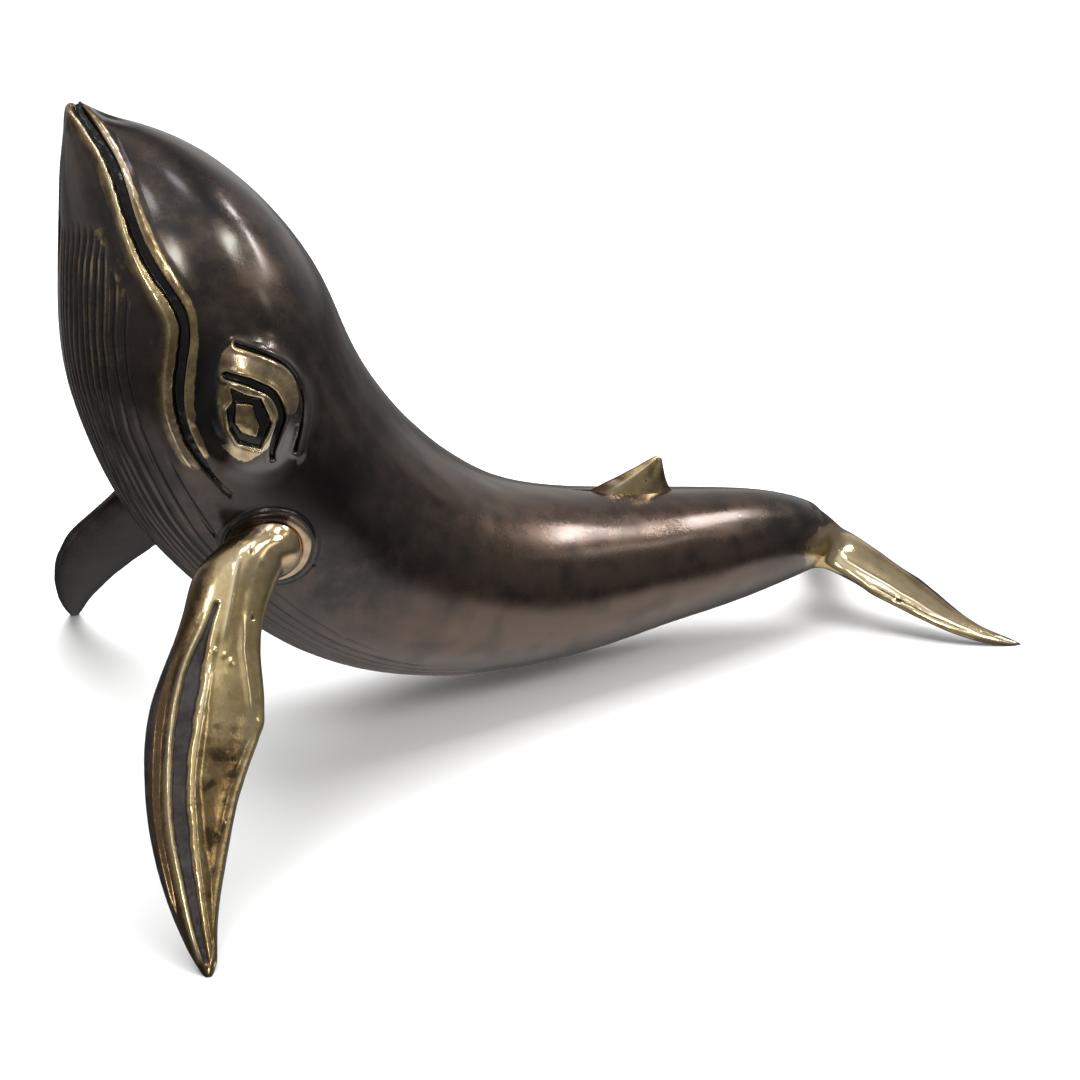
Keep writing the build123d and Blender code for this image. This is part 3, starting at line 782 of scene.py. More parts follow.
def skin_grid():
    """The skin's faces, laid out flat by station and angle."""
    # The columns are closest together on the throat.
    back = np.linspace(0, throat_start, back_columns)
    columns = np.concatenate([back, np.linspace(throat_start, 180, throat_columns)[1:]])
    grid = bmesh.new()
    rows = [[grid.verts.new((place, angle, 0)) for angle in columns] for place in skin_rows()]
    tip = grid.verts.new((-1.0, 90.0, 0))
    for right, left in zip(rows[0][1:], rows[0]):
        grid.faces.new((right, left, tip))
    for low, high in zip(rows, rows[1:]):
        for index in range(len(columns) - 1):
            grid.faces.new((low[index], low[index + 1], high[index + 1], high[index]))
    for reach in (3.6, 1.6):
        split_near(grid, reach)
    return grid


def body_half(name, side):
    """Outer skin of one half casting; side is -1 for the left, 1 for the right."""
    grid = skin_grid()
    mesh = bpy.data.meshes.new(name)
    grid.to_mesh(mesh)
    grid.free()
    station, angle = read_points(mesh)[:, :2].T
    work = Carving(station, angle, side)
    carve_hide(work)
    carve_pleats(work, carve_boss(work))
    carve_eye(work)
    carve_mouth(work)
    carve_wear(work)
    # Near the snout the carving is weaker at the seam, and at its tip it goes
    # along the nose.
    seam = smooth(0.0, 2.5, np.abs(work.points[:, 1]))
    high = work.high * np.where(station > 3.0, 1, seam * 0.6 + 0.4)
    outward = body_normal(station, angle)
    outward += (nose_dir - outward) * (fade(0.4, 1.7, station) * (high < 0))[:, None]
    points = work.points + outward * high[:, None]
    points[(angle < 0.01) | (angle > 179.99) | (station < -0.99), 1] = 0
    points[:, 1] = np.clip(points[:, 1], cad_box[0][1] / MM, 0)
    points[:, 2] = np.clip(points[:, 2], 0.05, cad_box[1][2] / MM - 0.02)
    if side > 0:
        points[:, 1] *= -1
        mesh.flip_normals()
    write_points(mesh, points)
    paint(mesh, work.marks)
    mesh.shade_smooth()
    return place_object(name, mesh)


def fin_row(place):
    """Centre, chord and face directions, half sizes of the fin's sections."""
    along, lead, trail, rise, thick, turn = np.moveaxis(curve(with_index(fin_shares), place), -1, 0)
    turn = np.clip(turn, 0, 1)
    middle = span_dir * along[:, None] + chord_dir * ((lead + trail) / 2)[:, None] + face_dir * rise[:, None]
    centre = fin_root + middle * fin_span
    facing = unit(span_dir * (1 - turn)[:, None] + stub_dir * turn[:, None])
    chord = unit(chord_dir - facing * (facing @ chord_dir)[:, None])
    # Close to the skin the stub is a round post that fills the collar.
    height = (centre - fin_root) @ stub_dir
    post = fade(0.3, 4.4, height)
    centre = centre + (fin_root + stub_dir * height[:, None] - centre) * post[:, None]
    half_long, half_thick = (trail - lead) / 2, thick / 2
    halves = [half * fin_span * (1 - turn) + stub_radius * turn for half in (half_long, half_thick)]
    half_long, half_thick = (half + (stub_radius + 0.1 - half) * post for half in halves)
    # Its rear side stays at the collar for longer.
    reach = ((centre - fin_root) * chord).sum(1) + half_long
    extra = np.maximum(stub_radius - reach, 0) * fade(2.5, 9.0, height)
    centre = centre + chord * (extra / 2)[:, None]
    half_long = half_long + extra / 2
    return centre, chord, np.cross(facing, chord), half_long, half_thick


def fin_surface(long_part, thick_part):
    """Rows of points round the plain fin, and the way out from each."""
    place = np.linspace(0.2, len(fin_shares) - 1, fin_rows)
    centre, chord, upward, half_long, half_thick = fin_row(place)
    ways = (
        (chord[:, None, :], long_part, half_long[:, None]),
        (upward[:, None, :], thick_part, half_thick[:, None]),
    )
    points = centre[:, None, :] + sum(way * (part * half)[..., None] for way, part, half in ways)
    return points, unit(sum(way * (part / half)[..., None] for way, part, half in ways))


class Blade:
    """A fin's plain surface, and the height that the file left over it in mm."""

    def __init__(self, side):
        # The columns stand closer together at the two edges.
        turn = np.linspace(0, 2 * math.pi, fin_columns, endpoint=False)
        turn = turn - 0.22 * np.sin(2 * turn)
        self.long_part, self.thick_part = np.cos(turn)[None, :], np.sin(turn)[None, :]
        self.points, self.outward = fin_surface(self.long_part, self.thick_part)
        self.seed = 11 if side < 0 else 17
        self.real = self.points * [1, -side, 1]
        self.drift = noise(self.real, 9.0, self.seed)
        self.grain = noise(self.real, 2.2, self.seed + 1)
        self.fine = noise(self.real, 0.9, self.seed + 2)
        self.upper = smooth(-0.05, 0.35, self.thick_part) + 0 * self.points[..., 0]
        self.run, self.cross = ((self.points - fin_root) @ way / fin_span for way in (span_dir, chord_dir))
        # Hollows along the blade, as left by the file.
        self.filed = noise(vectors(self.run * 3.2, self.cross * 14.0, 0), 1.0, self.seed + 7)
        self.free = smooth(0.12, 0.3, self.run)
        self.high = 0.16 * self.drift + 0.03 * self.grain + 0.16 * self.filed * self.free


def cut_channel(fin):
    """Dark channel between two raised ridges, square at its upper end; the left ridge is also given for a
    painted highlight.
    """
    run, grain = fin.run, fin.grain
    middle = curve(channel_shares, np.clip(run, channel_shares[0, 0], channel_shares[-1, 0]))
    gap = (fin.cross - middle[..., 0]) * fin_span
    half = middle[..., 1] * fin_span
    inside = span(run, 0.200, 0.206, 0.975, 0.99) * fin.upper
    wavy = 0.26 * noise(fin.real, 3.0, fin.seed + 3) + 0.15 * grain + 0.08 * fin.fine
    wavy = wavy * smooth(0.4, 2.0, half)
    cut = fade(-0.3, 0.25, np.where(gap > 0, gap + wavy, -gap + 0.15 * grain) - half) * inside
    opened = smooth(0.21, 0.30, run) * inside
    ridge_right = hump(gap + 0.5 * wavy - half - 1.5, 1.7) * (0.26 + 0.04 * grain)
    ridge_left = hump(gap + half + 1.0, 1.1) * 0.40
    fin.high += (ridge_right + ridge_left) * opened
    floor = channel_depth * np.minimum(half / 1.2, 1) + 0.12 * fin.fine + 0.1 * grain
    fin.high = fin.high * (1 - cut) - cut * floor
    # A shallow valley left of the channel rolls into the leading edge.
    fin.high -= 0.40 * hump(gap + half + 3.0, 1.6) * inside * smooth(0.26, 0.4, run)
    return cut, ridge_left * opened, smooth(half + 1.2, half + 4.5, gap)


def hollow_panel(fin, edge, clear):
    """Hollowed panel clear of the channel, with a thin bevel along the trailing edge."""
    panel = clear * smooth(0.8, 3.2, edge) * fin.upper
    beveled = fin.upper * smooth(0.46, 0.5, fin.run)
    fin.high += 0.16 * hump(edge - 1.2, 0.7) * beveled - 0.45 * panel * span(fin.run, 0.36, 0.5, 0.8, 0.95)
    return panel, fade(0.5, 1.0, edge) * beveled


def raise_ridges(fin, edge):
    """Facet from the notch in the trailing edge up to the stub, and two ridges below it."""
    run, cross = fin.run, fin.cross
    facet = (cross - np.interp(run, *facet_shares)) * fin_span
    facet = hump(facet, 2.2) * fin.upper
    fin.high += 0.35 * facet * span(run, 0.2, 0.27, 0.42, 0.47)
    fin.high += 0.30 * hump(run - 0.448, 0.035) * hump(edge, 4.0)
    spine = fin.upper * np.maximum(
        hump((cross + 0.0865) * fin_span, 1.1) * span(run, 0.05, 0.10, 0.25, 0.30),
        hump((cross + 0.107) * fin_span, 1.3) * span(run, 0.34, 0.375, 0.43, 0.47),
    )
    fin.high += 0.22 * spine
    return facet, spine


def sink_spots(fin):
    """Dents and casting pits; gives the pits."""
    pits = np.zeros_like(fin.high)
    for at, side_at, size, depth in fin_spots:
        spot = hump(np.hypot(fin.run - at, fin.cross - side_at) * fin_span, size) * fin.upper
        fin.high -= 0.8 * depth * spot
        if depth > 0:
            pits = np.maximum(pits, spot)
    return pits


def fin_piece(name, side):
    """One pectoral fin, with its channel, ridges, dents and dark underside."""
    fin = Blade(side)
    run, drift, grain = fin.run, fin.drift, fin.grain
    edge = (curve(fin_shares[:, :3], np.clip(run, 0.018, 1.0))[..., 1] - fin.cross) * fin_span
    cut, ridge_left, clear = cut_channel(fin)
    panel, bevel = hollow_panel(fin, edge, clear)
    facet, spine = raise_ridges(fin, edge)
    pits = sink_spots(fin)
    # Dark patina underneath, darkened further as painted shade, and a painted dark reflection along the
    # leading edge; brown stains on the panel.
    under = fade(-0.50, 0.05, fin.thick_part + 0.12 * drift + 0.1 * grain)
    hidden = under * smooth(0.0, 0.3, run)
    lead = smooth(0.84, 0.985, -fin.long_part + 0.04 * drift) * smooth(0.22, 0.4, run)
    cloud = noise(fin.real, 6.0, fin.seed + 5)
    mottled = np.clip(0.70 + 0.45 * cloud + 0.30 * grain + 0.15 * fin.fine, 0, 1)
    mottled = mottled * panel * smooth(0.40, 0.58, run)
    brown = smooth(0.45, 0.85, -fin.long_part + 0.1 * drift) * smooth(0.0, 0.2, run)
    streaky = 0.45 * smooth(0.1, 0.6, fin.filed) * fin.free * fin.upper
    stained = 0.5 * smooth(0.82, 1.0, run) + 0.25 * smooth(0.45, 0.7, run)
    stained = stained + 0.25 * smooth(0.1, 0.7, grain + 0.5 * cloud)
    marks = {
        "brass": 1 - under,
        "soot_and_shade": most(0.4 * hidden, 0.9 * lead, 0.92 * cut, smooth(0.2, 0.8, pits)),
        "dark": hidden,
        "tarnish": most(0.62 * mottled, brown, streaky) * (1 - bevel) + stained,
        # Painted highlights along the bevel, the ridges and the facet.
        "painted_highlight": most(0.5 * bevel, 0.8 * spine, 1.2 * ridge_left, 0.25 * facet),
        "rose": fade(0.0, 0.22, run) * np.clip(0.55 + 0.4 * drift, 0, 1),
    }
    # The tip is ground flat where it stands.
    points = fin.points + fin.outward * fin.high[..., None] + slide
    points[..., 2] = np.maximum(points[..., 2], 0.0)
    points[..., 1] = np.maximum(points[..., 1], cad_box[0][1] / MM)
    if side > 0:
        points[..., 1] *= -1
    return make_loft(name, points, True, marks)


def skin_heights(points):
    """How far the smooth skin lies out along the stub's axis at each point."""
    station, angle = np.meshgrid(np.linspace(5.8, 8.6, 160), np.linspace(85, 140, 160), indexing="ij")
    samples = body_skin(station, angle).reshape(-1, 3)
    heights = []
    for point in points:
        offset = samples - point
        out = offset @ stub_dir
        gap = (offset**2).sum(1) - out**2
        order = np.argsort(gap)[:6]
        weight = 1 / (gap[order] + 0.01)
        heights.append((out[order] * weight).sum() / weight.sum())
    return np.array(heights)


def collar_piece(name, side):
    """The brazed ring round the stub, lying on the body's skin."""
    turn = np.linspace(0, 2 * math.pi, 150, endpoint=False)[:, None]
    first = unit(np.cross(flat_chord, stub_dir))
    spoke = first * np.cos(turn) + np.cross(stub_dir, first) * np.sin(turn)
    radii, rises, dark = collar_shares.T
    wobble = (0.10 * np.sin(3 * turn + 1) + 0.06 * np.sin(7 * turn)) * (radii > 0.2)
    reach = stub_radius + collar_width * radii + wobble
    base = root_point + spoke[:, None, :] * reach[..., None]
    seat = skin_heights(base.reshape(-1, 3)).reshape(reach.shape)
    ring = base + stub_dir * (seat + boss_rise * 0.5 + collar_rise * rises)[..., None]
    # The side facing the tail and down is painted lit: more brass and rose there.
    lit = smooth(-0.45, 0.5, spoke @ np.array([0.75, 0.0, -0.55]))[:, None] + 0 * reach
    grain = noise(ring, 1.6, 41)
    marks = {
        "brass": 0.25 + 0.6 * lit + 0.1 * grain,
        "soot_and_shade": np.clip(dark + 0.25 * grain, 0, 1) * (dark > 0),
        "rose": 0.5 + 0.5 * lit,
        "tarnish": 0.35 + 0.3 * grain,
    }
    marks = {mark: np.concatenate([values, values[:1]]) for mark, values in marks.items()}
    if side > 0:
        ring[..., 1] *= -1
    return make_loft(name, np.concatenate([ring, ring[:1]]), marks=marks, flip=side > 0)


def loft_rows(centres, longs, wides, across, lens):
    """Closed sections set across a fin: oval, with sharper ends as lens grows."""
    turn = np.linspace(0, 2 * math.pi, across, endpoint=False)
    swell = np.sin(turn) * (1 - lens * np.abs(np.cos(turn)) ** 2)
    centres, longs, wides = (part[:, None, :] for part in (centres, longs, wides))
    return centres + longs * np.cos(turn)[None, :, None] + wides * swell[None, :, None]


def dorsal_piece():
    """Small dorsal fin of flat faces, filed by hand."""
    level = np.linspace(0, 1, 70)[:, None]
    sizes = curve(with_index(dorsal_shares * body_length), level[:, 0] * (len(dorsal_shares) - 1))
    front_x, front_z, rear_x, rear_z, width = np.moveaxis(sizes, -1, 0)
    centres = vectors((front_x + rear_x) / 2, 0, (front_z + rear_z) / 2) + slide
    longs = vectors((rear_x - front_x) / 2, 0, (rear_z - front_z) / 2)
    wides = vectors(0, -width / 2, 0)
    rows = loft_rows(centres, longs, wides, 128, 0.22)
    drift, grain = noise(rows, 4.0, 23), noise(rows, 1.6, 24)
    offset = rows - centres[:, None, :]
    outward = unit(offset)
    chord = offset[..., 0] / (np.abs(longs[:, :1]) + 0.01)
    # A bevel runs down the front, and the faces are a little hollow.
    hollow = hump(chord - 0.05, 0.55) * smooth(0.25, 0.5, level)
    high = (0.12 * drift - 0.35 * hollow + 0.12 * hump(chord + 0.62, 0.14)) * span(level, 0.0, 0.3, 0.9, 1.0)
    rows = rows + outward * high[..., None]
    pit = hump(np.linalg.norm(rows - dorsal_pit, axis=-1), 0.8)
    rear = smooth(0.30, 0.75, chord + 0.2 * drift) * fade(0.55, 0.9, level)
    front = fade(-0.9, -0.45, chord + 0.1 * drift) * fade(0.35, 0.6, level)
    foot = hump(level - 0.30, 0.10)
    marks = {
        "brass": 1 - 0.45 * front * fade(0.3, 0.5, level) - 0.4 * foot * rear,
        "soot_and_shade": np.maximum(pit, 0.5 * rear * foot),
        "tarnish": most(0.75 * rear, front, 0.35 * smooth(0.0, 0.5, drift + 0.4 * grain)),
        # Painted highlights down the front bevel and along the top.
        "painted_highlight": hump(chord + 0.62, 0.16) * 0.6 + 0.3 * smooth(0.9, 1.0, level),
        "rose": foot * (1 - rear),
    }
    return make_loft("dorsal_fin_brass", rows, True, marks)


def fluke_sections():
    """Both fluke blades in one loft, from the left tip to the right tip."""
    place = np.linspace(0, len(fluke_shares) - 1, 120)
    out, lead, trail, height, thick = np.moveaxis(curve(with_index(fluke_shares * body_length), place), -1, 0)
    order = np.concatenate([np.arange(len(place))[::-1], np.arange(1, len(place))])
    sign = np.concatenate([-np.ones(len(place)), np.ones(len(place) - 1)])
    centres = vectors((lead + trail) / 2, out, height)[order] * vectors(1, sign, 1)
    longs = vectors((trail - lead) / 2, 0, 0)[order]
    wides = vectors(0, 0, thick / 2)[order]
    return loft_rows(centres + slide, longs, wides, 72, 0.0)


def relax(points, edges, weight, rounds):
    """Move points towards their neighbours' middles, by a weight each."""
    degree = np.bincount(edges.reshape(-1), minlength=len(points))[:, None]
    for _ in range(rounds):
        total = np.zeros_like(points)
        for axis in range(3):
            for here, there in (edges.T, edges.T[::-1]):
                total[:, axis] += np.bincount(here, points[there, axis], len(points))
        points = points + (total / degree - points) * weight[:, None] * 0.6
    return points


def joint_x(height):
    """X of the joint between the body and the tail at a height."""
    top_x, top_z, low_x, low_z, _ = curve(station_curve, np.array(tail_joint))
    return low_x + (top_x - low_x) * (height - low_z) / (top_z - low_z) + frame_shift


def tail_blank(name):
    """Tail end and both flukes, fused by a fine remesh."""
    blades = make_loft("blades", fluke_sections(), True)
    round_tail = np.linspace(0, 360, 90, endpoint=False)
    station, angle = np.meshgrid(np.linspace(tail_joint - 0.25, last_station, 44), round_tail, indexing="ij")
    stem = make_loft("stem", body_skin(station, angle), True)
    bpy.ops.object.select_all(action="DESELECT")
    for part in (blades, stem):
        part.select_set(True)
    bpy.context.view_layer.objects.active = blades
    bpy.ops.object.join()
    fuse = blades.modifiers.new("fuse", "REMESH")
    fuse.mode = "VOXEL"
    fuse.voxel_size = 0.5 * MM
    mesh = bpy.data.meshes.new_from_object(blades.evaluated_get(bpy.context.evaluated_depsgraph_get()))
    blades.modifiers.clear()
    blades.data = mesh
    blades.name = mesh.name = name
    return blades


def tail_piece():
    """Tail end and both flukes in one casting, worked over by file."""
    piece = tail_blank("tail_flukes_brass")
    mesh = piece.data
    pairs = np.zeros(len(mesh.edges) * 2, np.int64)
    mesh.edges.foreach_get("vertices", pairs)
    pairs = pairs.reshape(-1, 2)
    points = read_points(mesh) / MM
    points = relax(points, pairs, np.full(len(points), 0.8), 6)
    # The blades grow out of the tail in a soft hollow curve.
    past = points[:, 0] - joint_x(points[:, 2])
    points = relax(points, pairs, smooth(0.3, 2.6, past) * fade(15, 25, np.abs(points[:, 1])), 220)
    write_points(mesh, points)
    outward = read_points(mesh, "normal")
    drift, grain = noise(points, 6.0, 31), noise(points, 2.0, 32)
    out = np.abs(points[:, 1])
    fluke_out, *edges = (fluke_shares[:, :3] * body_length).T
    lead, trail = (np.interp(out, fluke_out, edge) + frame_shift for edge in edges)
    share = (points[:, 0] - lead) / np.maximum(trail - lead, 0.5)
    upper = smooth(-0.1, 0.35, outward[:, 2])
    blade = smooth(6, 13, out)
    filed = noise(vectors(out * 0.10, share * 4.0, 0), 1.0, 33)
    # A thin line is cut along the leading edge, with a nick in it, and a ridge
    # along the blade catches the light.
    line = hump(points[:, 0] - lead - 2.0 - 0.35 * drift, 0.55) * span(out, 20, 27, 46, 50) * upper
    nick = hump(np.hypot(points[:, 0] - lead - 1.6, out - 31.0), 1.5) * upper
    ridge = hump((share - 0.24 - 0.02 * drift) * (trail - lead), 1.2) * span(out, 7, 12, 46, 51) * upper
    high = 0.08 * drift + 0.02 * grain + 0.10 * filed * blade + 0.28 * ridge - 0.40 * line - 0.35 * nick
    points = points + outward * (high * smooth(0.3, 3.0, past))[:, None]
    points[:, 2] = np.maximum(points[:, 2], 0.0)
    write_points(mesh, points)
    wear = tail_wear(points, 0.8 * grain)
    # Painted shade on the undersides and along the trailing edges, and painted highlights on the upper faces
    # and the ridge.
    under = fade(-0.35, 0.05, outward[:, 2] + 0.1 * grain) * (0.35 + 0.65 * smooth(11, 17, out))
    back = smooth(0.74, 0.90, share + 0.03 * drift) * smooth(5, 10, out)
    greenish = smooth(0.52, 0.72, share + 0.06 * drift) * upper * blade
    stained = np.maximum(0.45 * greenish, 0.8 * smooth(48, 55, out)) + 0.25 * smooth(0.1, 0.6, drift)
    paint(mesh, {
        "brass": np.maximum(wear["brass"], blade) * (1 - under * 0.85),
        "soot_and_shade": most(0.9 * line, nick, 0.7 * under, 0.85 * back),
        "tarnish": np.maximum(stained, wear["tarnish"]),
        "painted_highlight": np.clip(0.25 * upper * (1 - greenish) + 0.75 * ridge, 0, 1),
        "rose": np.maximum(wear["rose"], 0.25 * upper),
        "warm": wear["warm"],
    })
    mesh.shade_smooth()
    return piece


def node(tree, kind, inputs=None, **settings):
    """A shader node with its settings and its sockets' values or links."""
    made = tree.nodes.new("ShaderNode" + kind)
    for key, value in settings.items():
        setattr(made, key, value)
    for key, value in (inputs or {}).items():
        if isinstance(value, bpy.types.NodeSocket):
            tree.links.new(value, made.inputs[key])
        else:
            made.inputs[key].default_value = value
    return made


def new_material(name):
    """An empty node material and its output node."""
    material = bpy.data.materials.new(name)
    material.use_nodes = True
    tree = material.node_tree
    tree.nodes.clear()
    return material, tree, node(tree, "OutputMaterial")


def speckle(tree, scale, detail=4.0, rough=0.6):
    """Noise on the object's own coordinates, in features per metre."""
    where = node(tree, "TexCoord").outputs["Object"]
    inputs = {"Vector": where, "Scale": scale, "Detail": detail, "Roughness": rough}
    return node(tree, "TexNoise", inputs).outputs[0]


def between(tree, value, low, high, start=0.0, end=1.0):
    """A soft step of a socket between two values."""
    inputs = {"Value": value, "From Min": low, "From Max": high, "To Min": start, "To Max": end}
    made = node(tree, "MapRange", inputs)
    made.interpolation_type = "SMOOTHSTEP"
    return made.outputs[0]


def maths(tree, operation, *values):
    """One sum of sockets or numbers."""
    return node(tree, "Math", dict(enumerate(values)), operation=operation).outputs[0]


def blend(tree, share, first, second):
    """Mix of two colours by a socket or number."""
    made = node(tree, "Mix", data_type="RGBA")
    for index, value in ((0, share), (6, first), (7, second)):
        if isinstance(value, bpy.types.NodeSocket):
            tree.links.new(value, made.inputs[index])
        else:
            made.inputs[index].default_value = value if index == 0 else (*value, 1)
    return made.outputs[2]


def mark(tree, name):
    """A value painted on the points of the mesh."""
    return node(tree, "Attribute", attribute_name=name).outputs["Fac"]


def shine(tree, output, colour, rough, extra):
    """Join a surface of one colour and roughness to a material's output."""
    inputs = {"Base Color": colour, "Roughness": rough, **extra}
    tree.links.new(node(tree, "BsdfPrincipled", inputs).outputs[0], output.inputs[0])


def patina_colour(tree, cloud, mottle):
    """Patina: near black, with brown and reddish clouds, a grey with a painted sheen, and a near black with
    painted shade.
    """
    patina = blend(tree, between(tree, cloud, 0.38, 0.64), (0.014, 0.011, 0.010), (0.060, 0.041, 0.033))
    for where, strength, tone in (
        (between(tree, mottle, 0.34, 0.80), 0.6, (0.125, 0.080, 0.056)),
        (mark(tree, "warm"), 0.65, (0.165, 0.104, 0.074)),
        (mark(tree, "grey"), 0.75, (0.160, 0.148, 0.145)),
        (mark(tree, "dark"), 0.85, (0.007, 0.006, 0.006)),
    ):
        patina = blend(tree, maths(tree, "MULTIPLY", where, strength), patina, tone)
    return patina


def brass_colour(tree, mottle, fine):
    """Brass: pale gold, with brown tarnish, pinkish places and painted highlights."""
    stain = maths(tree, "MULTIPLY_ADD", mark(tree, "tarnish"), 1.5, -1.0)
    stain = maths(tree, "ADD", maths(tree, "MULTIPLY_ADD", mottle, 0.8, stain), fine)
    brass = blend(tree, between(tree, mottle, 0.38, 0.66), (0.56, 0.42, 0.20), (0.70, 0.56, 0.31))
    for where, tone in (
        (between(tree, stain, 0.0, 0.8), (0.30, 0.205, 0.095)),
        (between(tree, stain, 0.75, 1.45), (0.090, 0.055, 0.028)),
        (maths(tree, "MULTIPLY", mark(tree, "rose"), 0.6), (0.56, 0.43, 0.34)),
        # Pale gold of the painted highlights.
        (mark(tree, "painted_highlight"), (0.86, 0.76, 0.52)),
    ):
        brass = blend(tree, where, brass, tone)
    return brass


def scratches(tree):
    """Fine scratches left by the brush that worked the wax in."""
    where = node(tree, "TexCoord").outputs["Object"]
    inputs = {"Vector": where, "Rotation": (0.5, 0.6, 0.3), "Scale": (2600.0, 320.0, 320.0)}
    where = node(tree, "Mapping", inputs).outputs[0]
    return node(tree, "TexNoise", {"Vector": where, "Scale": 1.0, "Detail": 2.0}).outputs[0]


def metal(name, coat, soot_and_shade_colour, brass_rough):
    """Cast metal: dark waxed patina, worn through to brass where it is marked, near black in its cuts and
    where shade is painted.
    """
    material, tree, output = new_material(name)
    cloud = speckle(tree, 30.0, 5.0)
    mottle = speckle(tree, 130.0, 6.0, 0.65)
    fine = speckle(tree, 1100.0, 3.0, 0.7)
    worn = maths(tree, "MULTIPLY_ADD", fine, 0.35, mark(tree, "brass"))
    worn = between(tree, maths(tree, "MULTIPLY_ADD", mottle, 0.5, worn), 0.84, 1.04)
    # Near black in cuts and pits, and painted shade under and along some edges.
    soot_and_shade = between(tree, maths(tree, "MULTIPLY_ADD", fine, 0.35, mark(tree, "soot_and_shade")), 0.42, 0.85)
    pale_soot_and_shade = tuple(1.9 * part for part in soot_and_shade_colour)
    grainy = blend(tree, between(tree, mottle, 0.35, 0.65), soot_and_shade_colour, pale_soot_and_shade)
    colour = blend(tree, worn, patina_colour(tree, cloud, mottle), brass_colour(tree, mottle, fine))
    colour = blend(tree, soot_and_shade, colour, grainy)
    rough = between(tree, mottle, 0.3, 0.75, 0.22, 0.36)
    for share, other in ((worn, brass_rough), (soot_and_shade, 0.55)):
        rough = node(tree, "Mix", {0: share, 2: rough, 3: other}).outputs[0]
    relief = {}
    for height, distance in ((scratches(tree), 0.00003), (fine, 0.00004), (mottle, 0.00004)):
        inputs = {"Strength": 0.5, "Distance": distance, "Height": height, **relief}
        relief = {"Normal": node(tree, "Bump", inputs).outputs[0]}
    wax = {"Coat Weight": coat, "Coat Roughness": 0.18, "Coat IOR": 1.5}
    shine(tree, output, colour, rough, {"Metallic": 1.0, **relief, **wax})
    return material


def floor_material():
    """Plain matt white card."""
    material, tree, output = new_material("white_card")
    tone = blend(tree, speckle(tree, 3.0), (0.87, 0.87, 0.87), (0.90, 0.90, 0.90))
    shine(tree, output, tone, 0.9, {"Specular IOR Level": 0.1})
    return material


def rod_material():
    """Plain drawn rod for the pins and dowels."""
    material, tree, output = new_material("brass_rod")
    tone = blend(tree, speckle(tree, 400.0), (0.26, 0.18, 0.09), (0.36, 0.26, 0.14))
    shine(tree, output, tone, 0.3, {"Metallic": 1.0})
    return material


patinated = metal("patinated_bronze", 0.9, (0.007, 0.006, 0.006), 0.24)
polished = metal("polished_brass", 0.15, (0.046, 0.040, 0.040), 0.16)
collar_metal = metal("collar_brass", 0.2, (0.012, 0.009, 0.008), 0.22)
rod = rod_material()

pieces = (
    (body_half("left_body_skin", -1), "left_body_shell", "patinated_bronze", patinated),
    (body_half("right_body_skin", 1), "right_body_shell", "patinated_bronze", patinated),
    (fin_piece("left_fin_brass", -1), "left_pectoral_fin", "polished_brass", polished),
    (fin_piece("right_fin_brass", 1), "right_pectoral_fin", "polished_brass", polished),
    (collar_piece("left_collar_ring", -1), "left_fin_collar", "collar_brass", collar_metal),
    (collar_piece("right_collar_ring", 1), "right_fin_collar", "collar_brass", collar_metal),
    (dorsal_piece(), "dorsal_fin", "polished_brass", polished),
    (tail_piece(), "tail_flukes", "polished_brass", polished),
)
for piece, cad_node, slot, material in pieces:
    piece.data.materials.clear()
    piece.data.materials.append(material)
    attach(piece, "root")
    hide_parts(cad_node)
for name in ("left_tenon_pin", "right_tenon_pin", "tail_pin", "seam_dowels"):
    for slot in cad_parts[name].material_slots:
        slot.material = rod

# Floor with a backdrop that curves up behind, in metres. Only the camera and
# the soft light see it; the metal reflects the studio instead.
view_turn = math.radians(-25)
floor_front = -1.6
floor_back = 1.4
floor_half = 3.2
bend_radius = 0.9
backdrop_top = 2.6
bend = np.linspace(0.1, math.pi / 2, 14)
profile = [(floor_front, 0.0), (floor_back, 0.0)]
profile += zip(floor_back + bend_radius * np.sin(bend), bend_radius - bend_radius * np.cos(bend))
profile += [(floor_back + bend_radius, backdrop_top)]
columns = np.linspace(-floor_half, floor_half, 9)
card = np.array([[(across, along, up) for across in columns] for along, up in profile])
backdrop = make_loft("backdrop", card / MM)
backdrop.rotation_euler = (0, 0, view_turn)
backdrop.data.materials.append(floor_material())
backdrop.visible_glossy = False


def area_light(name, place, aim, size, power, along=None):
    """An area light at place, in metres, aimed at a point."""
    lamp = bpy.data.lights.new(name, "AREA")
    lamp.shape = "RECTANGLE" if along is None else "ELLIPSE"
    lamp.size, lamp.size_y = size
    lamp.energy = power
    holder = place_object(name, lamp)
    holder.location = place
    back = (Vector(place) - Vector(aim)).normalized()
    first = Vector((0, 0, 1) if along is None else along).cross(back).normalized()
    holder.rotation_euler = Matrix((first, back.cross(first), back)).transposed().to_euler()
    return holder


def heading(azimuth, height):
    """Unit vector towards an azimuth and a height in degrees."""
    turn, tilt = math.radians(azimuth), math.radians(height)
    return np.array([math.cos(turn) * math.cos(tilt), math.sin(turn) * math.cos(tilt), math.sin(tilt)])


# Soft light on the floor and the backdrop.
for name, place, size, power in (
    ("overhead", (0.0, 0.35, 1.5), (1.4, 1.0), 24),
    ("window", (0.9, -0.9, 1.0), (0.7, 0.5), 9),
    ("left_fill", (-1.3, -0.7, 0.8), (0.7, 0.7), 6),
    ("back_wash", (0.5, 1.2, 1.6), (2.4, 0.8), 40),
):
    area_light(name, place, (0, 0, 0.08), size, power).visible_glossy = False

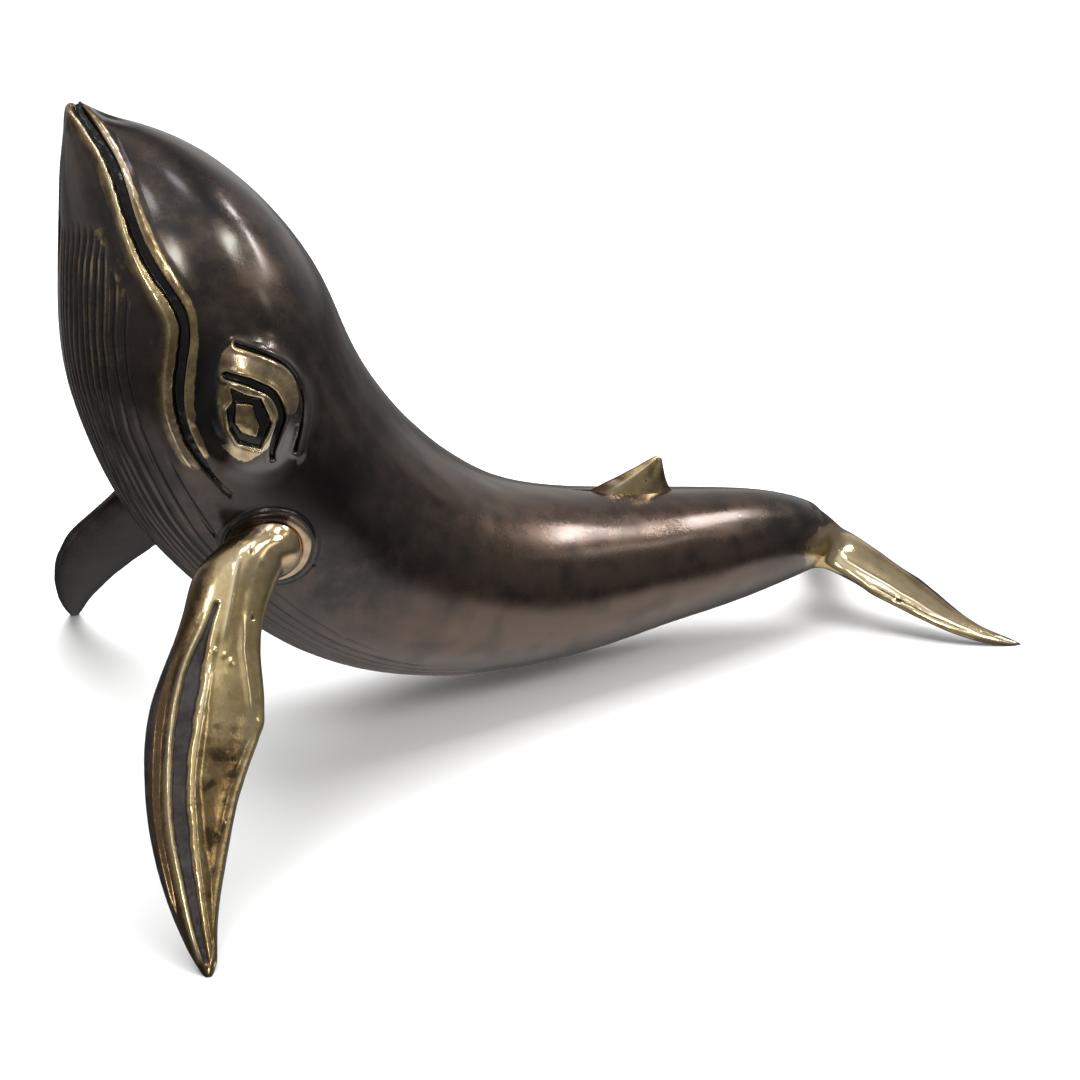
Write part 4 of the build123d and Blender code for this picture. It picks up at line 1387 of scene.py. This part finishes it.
# Small lamps that only show as highlights on the metal: the spot they light,
# their distance from it, two ends of the lamp by azimuth and height, its width,
# power and colour.
head_spot = (-0.112, -0.023, 0.163)
tail_spot = (0.015, -0.018, 0.053)
for number, (aim, distance, start, end, width, power, tint) in enumerate((
    (head_spot, 1.5, (-118, 53), (-112, 58), 0.13, 0.9, (0.92, 0.92, 1.0)),
    (head_spot, 1.5, (-48, 62), (-30, 72), 0.26, 1.3, (0.88, 0.84, 1.0)),
    (head_spot, 0.5, (0, 44), (3, 42), 0.028, 0.16, (1.0, 0.98, 1.0)),
    (head_spot, 1.0, (-41, 42), (-35, 39), 0.08, 0.9, (0.95, 1.0, 0.92)),
    (head_spot, 1.5, (-106, 34), (-97, 38), 0.17, 2.8, (0.95, 1.0, 0.92)),
    (tail_spot, 1.5, (-25, 34), (-6, 45), 0.045, 3.4, (1.0, 1.0, 1.0)),
    (tail_spot, 1.5, (-41, 26), (-33, 30), 0.10, 0.25, (1.0, 0.93, 0.78)),
)):
    ends = [np.array(aim) + heading(*place) * distance for place in (start, end)]
    length = np.linalg.norm(ends[1] - ends[0])
    across = np.cross(ends[1] - ends[0], heading(*start))
    size = (max(length, width), width)
    lamp = area_light(f"lamp_{number}", (ends[0] + ends[1]) / 2, aim, size, power, across)
    lamp.data.color = tint
    lamp.visible_diffuse = False

# The studio round the figurine, by height of the direction from -1 to 1: white
# floor, a dark room in front, a white wall behind, and a soft light over the
# camera's left shoulder.
front_tones = (
    (-1.0, 0.78), (-0.75, 0.88), (-0.54, 0.92), (-0.43, 0.36), (-0.36, 0.12), (-0.25, 0.10),
    (-0.08, 0.20), (0.10, 0.24), (0.40, 0.26), (0.62, 0.30), (0.80, 0.42), (1.0, 0.72),
)
back_tones = (
    (-1.0, 0.70), (-0.84, 0.20), (-0.70, 0.10), (-0.50, 0.12), (-0.20, 0.20), (0.04, 0.15), (0.15, 0.60),
    (0.50, 0.60), (0.68, 0.36), (0.84, 0.24), (1.0, 0.60),
)
world = bpy.data.worlds.new("studio")
world.use_nodes = True
tree = world.node_tree
direction = node(tree, "TexCoord").outputs["Generated"]


def facing(azimuth, height):
    """How far the world's direction points towards an azimuth and height."""
    towards = tuple(heading(azimuth, height))
    return node(tree, "VectorMath", {0: direction, 1: towards}, operation="DOT_PRODUCT").outputs["Value"]


def tone_ramp(value, tones):
    """Grey tones by a value from -1 to 1."""
    made = node(tree, "ValToRGB", {0: node(tree, "MapRange", {"Value": value, "From Min": -1.0}).outputs[0]})
    for place, _ in tones[2:]:
        made.color_ramp.elements.new((place + 1) / 2)
    for stop, (place, tone) in zip(made.color_ramp.elements, tones):
        stop.position = (place + 1) / 2
        stop.color = (tone, tone * 0.985, tone * 0.97, 1)
    return made.outputs[0]


patchy = node(tree, "TexNoise", {"Vector": direction, "Scale": 2.3, "Detail": 1.0}).outputs[0]
level = maths(tree, "MULTIPLY_ADD", maths(tree, "ADD", patchy, -0.5), 0.22, facing(0, 90))
behind = between(tree, facing(95, 0), -0.35, 0.38)
tone = blend(tree, behind, tone_ramp(level, front_tones), tone_ramp(level, back_tones))
glow = between(tree, facing(-70, 56), 0.90, 0.99, 0.0, 0.74)
tone = blend(tree, glow, tone, (1.0, 0.985, 0.98))
tree.links.new(tone, tree.nodes["Background"].inputs[0])
bpy.context.scene.world = world

# The camera solved from the photograph, its focal length and width in pixels.
camera_place = (-0.193 + frame_shift * MM, -0.389, 0.220)
camera_tilt = math.radians(68)
focal_pixels = 1400
picture_pixels = 1080
lens = bpy.data.cameras.new("view")
lens.sensor_width = 36
lens.lens = 36 * focal_pixels / picture_pixels
lens.clip_start = 0.01
camera = place_object("view", lens)
camera.location = camera_place
camera.rotation_euler = (camera_tilt, 0, view_turn)
bpy.context.scene.camera = camera
bpy.context.scene.view_settings.view_transform = "Standard"
